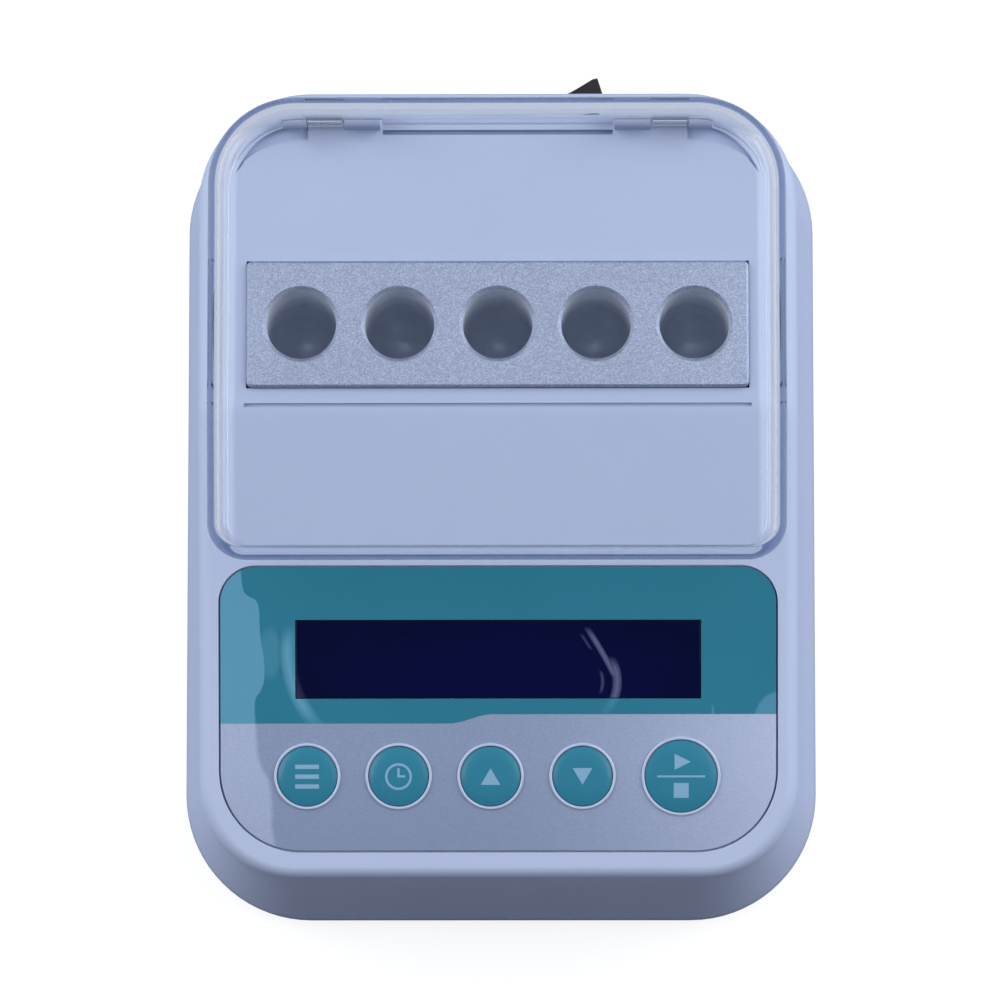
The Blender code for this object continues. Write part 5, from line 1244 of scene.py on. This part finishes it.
def key_rims():
    """Embossed rings of the film round the keys."""
    bm = bmesh.new()
    base = GAP - PANEL_RECESS + PANEL_THICKNESS
    for _, x, radius in KEYS:
        inner = radius + GAP / 3
        outer = inner + RIM_WIDTH
        profile = [(inner, base - PANEL_THICKNESS / 2), (inner, base + RIM_RISE / 2)]
        for step in range(RIM_STEPS + 1):
            turn = math.pi * (1 - step / RIM_STEPS)
            profile.append(((inner + outer) / 2 + RIM_WIDTH / 2 * math.cos(turn),
                            base + RIM_RISE / 2 + RIM_RISE / 2 * math.sin(turn)))
        profile.append((outer, base - PANEL_THICKNESS / 2))
        add_turned(bm, profile, panel_matrix() @ Matrix.Translation((x, KEY_ROW, 0)))
    return bm


class INCUBATOR_OT_panel(bpy.types.Operator):
    """Printed film of the control panel, its embossed rims and the display window"""
    bl_idname = "incubator.panel"
    bl_label = "Control panel"

    def execute(self, context):
        settings = context.scene.incubator.panel
        film = panel_plate(0.0, GAP - PANEL_RECESS, PANEL_THICKNESS)
        overlay = make_object("printed_overlay", film, overlay_material(settings))
        carve(overlay, [("DIFFERENCE", panel_holes(2 * WALL))])
        soften(overlay, FILM_EDGE, 1)
        dress(overlay, "housing", "overlay_film", "panel_overlay")
        # Rim colour: partly their own pale colour, partly a painted highlight
        pale = finishes().surface("film_rim", tuple(settings.rim_colour_and_sheen), 0.22, drift=0.08, drift_scale=90.0,
                                  Coat_Weight=0.2, Coat_Roughness=0.08)
        dress(make_object("film_rims", key_rims(), pale), "housing", "overlay_film")
        self.window(window_material(settings))
        return {"FINISHED"}

    def window(self, glass):
        margin = GAP / 2
        top = GAP - PANEL_RECESS + PANEL_THICKNESS
        bm = solid(add_box, (margin - WINDOW_WIDTH / 2, WINDOW_OFFSET - WINDOW_HEIGHT / 2 + margin, -WALL),
                   (WINDOW_WIDTH / 2 - margin, WINDOW_OFFSET + WINDOW_HEIGHT / 2 - margin, top),
                   panel_matrix())
        window = make_object("window_lens", bm, glass)
        soften(window, WINDOW_EDGE)
        dress(window, "housing", "window_navy", "display_window")


def draw_symbol(bm, name):
    """Three bars, a clock face, an arrowhead, or a triangle over a square."""
    if name == "timer":
        inner, outer = CLOCK_FACE
        add_turned(bm, [(inner, -PRINT_RISE), (inner, PRINT_RISE), (outer, PRINT_RISE), (outer, -PRINT_RISE)])
    for left, low, right, high in SYMBOL_BARS.get(name, ()):
        add_box(bm, (left, low, -PRINT_RISE), (right, high, PRINT_RISE))
    if name in SYMBOL_OUTLINES:
        add_plate(bm, SYMBOL_OUTLINES[name], -PRINT_RISE, PRINT_RISE)


def crown(radius, way):
    """Height of a key's crown at this distance from its middle."""
    return KEY_PROUD - KEY_CROWN * (way / radius) ** 4


class INCUBATOR_OT_keys(bpy.types.Operator):
    """Five crowned keys, each with a plain symbol printed on it"""
    bl_idname = "incubator.keys"
    bl_label = "Keys"

    def execute(self, context):
        settings = context.scene.incubator.panel
        teal = finishes().surface("key_teal", tuple(part * KEY_SHADE for part in settings.teal), 0.26,
                                  drift=0.06, drift_scale=120.0, Coat_Weight=0.10, Coat_Roughness=0.08,
                                  Specular_IOR_Level=0.30)
        ink = finishes().surface("key_print", tuple(settings.print_colour), 0.45, drift=0.02)
        for name, x, radius in KEYS:
            place = panel_matrix() @ Matrix.Translation((x, KEY_ROW, 0))
            cap = make_object(f"{name}_cap", solid(add_turned, self.profile(radius), place), teal)
            dress(cap, f"{name}_key", "key_teal", f"{name}_key")
            bm = solid(draw_symbol, name)
            long_edges = [edge for edge in bm.edges if edge.calc_length() > radius / 2]
            bmesh.ops.subdivide_edges(bm, edges=long_edges, cuts=7, use_grid_fill=True)
            for vert in bm.verts:
                vert.co.z += crown(radius, vert.co.xy.length)
            turned = place @ Matrix.Rotation(math.pi if name == "down" else 0.0, 4, "Z")
            bmesh.ops.transform(bm, matrix=turned, verts=bm.verts)
            dress(make_object(f"{name}_symbol", bm, ink), f"{name}_key", "key_teal")
        return {"FINISHED"}

    def profile(self, radius):
        """Crowned cap with a flange under the casing's wall and a stem."""
        flat = radius - KEY_EDGE
        points = []
        for step in range(KEY_CROWN_STEPS + 1):
            way = flat * step / KEY_CROWN_STEPS
            points.append((way, crown(radius, way)))
        last = points[-1][1]
        for step in range(1, KEY_EDGE_STEPS + 1):
            turn = math.pi / 2 * step / KEY_EDGE_STEPS
            points.append((flat + KEY_EDGE * math.sin(turn), last - KEY_EDGE * (1 - math.cos(turn))))
        top = -WALL - GAP
        bottom = top - KEY_FLANGE_THICKNESS
        return points + [(radius, top), (radius + KEY_FLANGE, top), (radius + KEY_FLANGE, bottom),
                         (KEY_STEM, bottom), (KEY_STEM, KEY_BOTTOM), (0, KEY_BOTTOM)]


# Rear fittings

class INCUBATOR_OT_rear(bpy.types.Operator):
    """Rocker switch and round power inlet in the rear wall"""
    bl_idname = "incubator.rear"
    bl_label = "Rear fittings"

    def execute(self, context):
        black = finishes().surface("switch_black", (0.014, 0.015, 0.018), 0.36, drift=0.10, bump=0.10,
                                   grain=2500.0)
        self.housing(black)
        self.rocker(black)
        self.inlet(black)
        return {"FINISHED"}

    def housing(self, black):
        half_x, half_z = SWITCH_HALF
        place = rear_matrix() @ Matrix.Translation((SWITCH_X, 0, 0))
        case = solid(add_box, (-half_x, -SWITCH_DEPTH, -half_z), (half_x, FLANGE_OUT, half_z), place)
        piece = make_object("switch_case", case, black)
        flange = solid(add_box, (-half_x - SWITCH_FLANGE, GAP, -half_z - SWITCH_FLANGE),
                       (half_x + SWITCH_FLANGE, FLANGE_OUT, half_z + SWITCH_FLANGE), place)
        pocket = solid(add_box, (-half_x + SWITCH_WALL, -SWITCH_POCKET, -half_z + SWITCH_WALL),
                       (half_x - SWITCH_WALL, 2 * FLANGE_OUT, half_z - SWITCH_WALL), place)
        bore = solid(add_rod, TRUNNION + GAP / 2, -2 * half_z, 2 * half_z,
                     place @ Matrix.Translation((0, -PIVOT_DEPTH, 0)), SMALL_ROUND_STEPS)
        carve(piece, [("UNION", flange), ("DIFFERENCE", pocket), ("DIFFERENCE", bore)])
        soften(piece, SWITCH_EDGE)
        dress(piece, "housing", "black_plastic", "switch_housing")

    def rocker(self, black):
        half = ROCKER_THICKNESS / 2
        place = rear_matrix() @ Matrix.Translation((SWITCH_X, -PIVOT_DEPTH, 0))
        place = place @ Matrix.Rotation(ROCKER_TILT, 4, "Z")
        points = [(-ROCKER_HALF, ROCKER_LOW_TIP), (-ROCKER_HALF * 0.98, 0),
                  (-ROCKER_HALF / 2, -ROCKER_HALF / 2), (ROCKER_HALF / 2, -ROCKER_HALF / 2),
                  (ROCKER_FOOT, 0), (ROCKER_REACH, ROCKER_TIP)]
        for step in range(1, ROCKER_STEPS):
            share = 1 - 2 * step / ROCKER_STEPS
            tip, reach = (ROCKER_TIP, ROCKER_REACH) if share > 0 else (ROCKER_LOW_TIP, ROCKER_HALF)
            dip = min(1.0, math.hypot(share, ROCKER_FOLD) / math.hypot(ROCKER_STRAIGHT, ROCKER_FOLD))
            points.append((reach * share, ROCKER_MIDDLE + (tip - ROCKER_MIDDLE) * dip))
        piece = make_object("switch_rocker", solid(add_plate, points, -half, half, place), black)
        reach = SWITCH_HALF[1] - SWITCH_WALL / 3
        carve(piece, [("UNION", solid(add_rod, TRUNNION, -reach, reach, place, SMALL_ROUND_STEPS))])
        soften(piece, ROCKER_EDGE)
        dress(piece, "rocker", "black_plastic", "rocker")

    def inlet(self, black):
        front = FLANGE_OUT
        floor = front - JACK_BORE_DEPTH
        profile = [(0, front - 2 * GAP), (JACK_PIN * 0.7, front - 2 * GAP), (JACK_PIN, front - 3 * GAP),
                   (JACK_PIN, floor), (JACK_BORE, floor), (JACK_BORE, front - JACK_EDGE),
                   (JACK_BORE + JACK_EDGE, front), (JACK_FLANGE_RADIUS - JACK_EDGE, front),
                   (JACK_FLANGE_RADIUS, front - JACK_EDGE), (JACK_FLANGE_RADIUS, GAP), (JACK_RADIUS, GAP),
                   (JACK_RADIUS, -JACK_LENGTH), (0, -JACK_LENGTH)]
        turn = Matrix.Translation((JACK_X, 0, 0)) @ Matrix.Rotation(-math.pi / 2, 4, "X")
        piece = make_object("inlet_socket", solid(add_turned, profile, rear_matrix() @ turn), black)
        dress(piece, "housing", "black_plastic", "power_inlet")


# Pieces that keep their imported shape

KEPT_FINISHES = {
    "steel": ((0.55, 0.56, 0.58), 0.30, 1.0, 0.06, 0.10),
    "nickel": ((0.62, 0.60, 0.56), 0.28, 1.0, 0.06, 0.08),
    "black_plastic": ((0.018, 0.018, 0.020), 0.42, 0.0, 0.10, 0.12),
    "board_green": ((0.015, 0.120, 0.050), 0.38, 0.0, 0.12, 0.10),
    "heater_orange": ((0.50, 0.14, 0.03), 0.55, 0.0, 0.08, 0.15),
    "foam_grey": ((0.30, 0.31, 0.33), 0.92, 0.0, 0.20, 0.60),
    "carrier_plastic": ((0.060, 0.060, 0.065), 0.55, 0.0, 0.08, 0.15),
    "lead_red": ((0.40, 0.020, 0.015), 0.45, 0.0, 0.06, 0.06),
    "ribbon_grey": ((0.40, 0.41, 0.43), 0.50, 0.0, 0.08, 0.10),
    "window_navy": ((0.004, 0.005, 0.020), 0.15, 0.0, 0.10, 0.02),
}


class INCUBATOR_OT_kept(bpy.types.Operator):
    """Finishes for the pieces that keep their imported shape"""
    bl_idname = "incubator.kept"
    bl_label = "Inner pieces"

    def execute(self, context):
        slots = {entry["node"]: entry["material_slot"] for entry in frame["record"]["subparts"]}
        for name, piece in frame["nodes"].items():
            if piece.hide_render:
                continue
            slot = slots[name]
            if slot not in KEPT_FINISHES:
                raise RuntimeError(f"no finish for {name} in {slot}")
            colour, rough, metal, drift, bump = KEPT_FINISHES[slot]
            finish = finishes().surface(f"inner_{slot}", colour, rough, metal, drift=drift, bump=bump,
                                        grain=3000.0)
            if not piece.material_slots:
                piece.data.materials.append(finish)
            for holder in piece.material_slots:
                holder.material = finish
        return {"FINISHED"}


# Stage

FOCAL = 225.0
TARGET = (0.0003, -0.0025, 0.050)
LAMPS = (("left_softbox", (-0.88, 0.28, 0.68), (1.2, 1.35), 15.6),
         ("right_softbox", (0.88, 0.28, 0.68), (1.2, 1.35), 17.6),
         ("rear_softbox", (0.0, 0.80, 0.60), (0.7, 0.3), 0.3))
SKY = (0.85, 0.91, 1.0, 1.0)
SKY_LEVEL = 0.10
THROUGH_LID = (0.22, 0.27, 0.38, 1.0)
BOUNCED_WHITE = (0.23, 0.28, 0.42, 1.0)
FLOOR_COLOURS = ((0.30, 0.31, 0.33, 1.0), (0.28, 0.29, 0.31, 1.0))
FLOOR_BOUNCE = (0.12, 0.14, 0.19, 1.0)
FLOOR_GLOW = 0.80


def floor_material():
    """Pale floor that shows white to the camera and keeps the object's soft shadow."""
    material, tree, shader = blank_material("pale_floor", 0.9, Specular_IOR_Level=0.0)
    cloud = maths(tree, "MULTIPLY", noise(tree, 3.0), 0.05)
    tree.links.new(mix_colours(tree, cloud, *FLOOR_COLOURS), shader.inputs["Base Color"])
    dim = node(tree, "ShaderNodeBsdfDiffuse")
    dim.inputs["Color"].default_value = FLOOR_BOUNCE
    glow = node(tree, "ShaderNodeEmission")
    glow.inputs["Strength"].default_value = FLOOR_GLOW
    both = node(tree, "ShaderNodeAddShader")
    path = node(tree, "ShaderNodeLightPath").outputs
    bounced = maths(tree, "MAXIMUM", path["Is Glossy Ray"], path["Is Transmission Ray"])
    tree.links.new(mix_colours(tree, bounced, WHITE, BOUNCED_WHITE), glow.inputs["Color"])
    tree.links.new(shader.outputs[0], both.inputs[0])
    tree.links.new(glow.outputs[0], both.inputs[1])
    show_mix(tree, maths(tree, "MAXIMUM", path["Is Camera Ray"], bounced), dim.outputs[0], both.outputs[0])
    return material


def studio_world(level):
    world = bpy.data.worlds.new("studio")
    bpy.context.scene.world = world
    world.use_nodes = True
    tree = world.node_tree
    sky = tree.nodes["Background"]
    sky.inputs["Color"].default_value = SKY
    sky.inputs["Strength"].default_value = SKY_LEVEL * level
    white = node(tree, "ShaderNodeBackground")
    white.inputs["Strength"].default_value = 1.0
    path = node(tree, "ShaderNodeLightPath").outputs
    tree.links.new(mix_colours(tree, path["Is Camera Ray"], THROUGH_LID, WHITE), white.inputs["Color"])
    inside = maths(tree, "GREATER_THAN", path["Transmission Depth"], 0.5)
    turned = maths(tree, "MULTIPLY", path["Is Glossy Ray"], inside)
    through = maths(tree, "MAXIMUM", path["Is Transmission Ray"], turned)
    show_mix(tree, maths(tree, "MAXIMUM", path["Is Camera Ray"], through), sky.outputs[0], white.outputs[0],
             "World Output")


def add_lamp(name, place, size, power):
    lamp = bpy.data.lights.new(name, "AREA")
    lamp.shape = "RECTANGLE"
    lamp.size, lamp.size_y = size
    lamp.energy = power
    holder = bpy.data.objects.new(name, lamp)
    holder.location = place
    holder.rotation_euler = (Vector(TARGET) - Vector(place)).to_track_quat("-Z", "Y").to_euler()
    bpy.context.scene.collection.objects.link(holder)


class INCUBATOR_OT_stage(bpy.types.Operator):
    """Pale floor, soft studio light and the camera"""
    bl_idname = "incubator.stage"
    bl_label = "Stage"

    def execute(self, context):
        settings = context.scene.incubator.stage
        bm = bmesh.new()
        bmesh.ops.create_grid(bm, x_segments=1, y_segments=1, size=3.0)
        make_object("pale_floor", bm, floor_material())
        studio_world(settings.level)
        for name, place, size, power in LAMPS:
            add_lamp(name, place, size, power * settings.level)
        self.camera(settings)
        context.scene.view_settings.view_transform = "Standard"
        return {"FINISHED"}

    def camera(self, settings):
        lens = bpy.data.cameras.new("camera")
        lens.sensor_width = 36.0
        lens.lens = FOCAL
        lens.clip_start, lens.clip_end = 0.05, 20.0
        camera = bpy.data.objects.new("camera", lens)
        tilt, side = settings.tilt, settings.side
        away = Vector((math.sin(side), -math.sin(tilt), math.cos(tilt) * math.cos(side))).normalized()
        camera.location = Vector(TARGET) + settings.distance * away
        right = Vector((0, 1, 0)).cross(away).normalized()
        turn = Matrix((right, away.cross(right), away)).transposed()
        camera.rotation_euler = (turn @ Matrix.Rotation(settings.roll, 3, "Z")).to_euler()
        bpy.context.scene.collection.objects.link(camera)
        bpy.context.scene.camera = camera


class INCUBATOR_PT_panel(bpy.types.Panel):
    """The incubator's pieces and settings"""
    bl_idname = "INCUBATOR_PT_panel"
    bl_label = "Block incubator"
    bl_space_type = "VIEW_3D"
    bl_region_type = "UI"
    bl_category = "Incubator"

    def draw(self, context):
        settings = context.scene.incubator
        for name in ("casing", "lid", "block", "panel", "stage"):
            box = self.layout.box()
            box.label(text=name.capitalize())
            group = getattr(settings, name)
            for key in group.__annotations__:
                box.prop(group, key)
        for operator in OPERATORS:
            self.layout.operator(operator.bl_idname)


GROUPS = (CasingSettings, LidSettings, BlockSettings, PanelSettings, StageSettings, IncubatorSettings)
OPERATORS = (INCUBATOR_OT_stage, INCUBATOR_OT_casing, INCUBATOR_OT_tray, INCUBATOR_OT_lid, INCUBATOR_OT_block,
             INCUBATOR_OT_panel, INCUBATOR_OT_keys, INCUBATOR_OT_rear, INCUBATOR_OT_kept)


def register():
    for item in GROUPS + OPERATORS + (INCUBATOR_PT_panel,):
        bpy.utils.register_class(item)
    bpy.types.Scene.incubator = PointerProperty(type=IncubatorSettings)


def unregister():
    del bpy.types.Scene.incubator
    for item in reversed(GROUPS + OPERATORS + (INCUBATOR_PT_panel,)):
        bpy.utils.unregister_class(item)


def main():
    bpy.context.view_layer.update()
    register()
    bpy.ops.incubator.stage()
    bpy.ops.incubator.casing()
    bpy.ops.incubator.tray()
    bpy.ops.incubator.lid()
    bpy.ops.incubator.block()
    bpy.ops.incubator.panel()
    bpy.ops.incubator.keys()
    bpy.ops.incubator.rear()
    bpy.ops.incubator.kept()


if __name__ == "__main__":
    main()
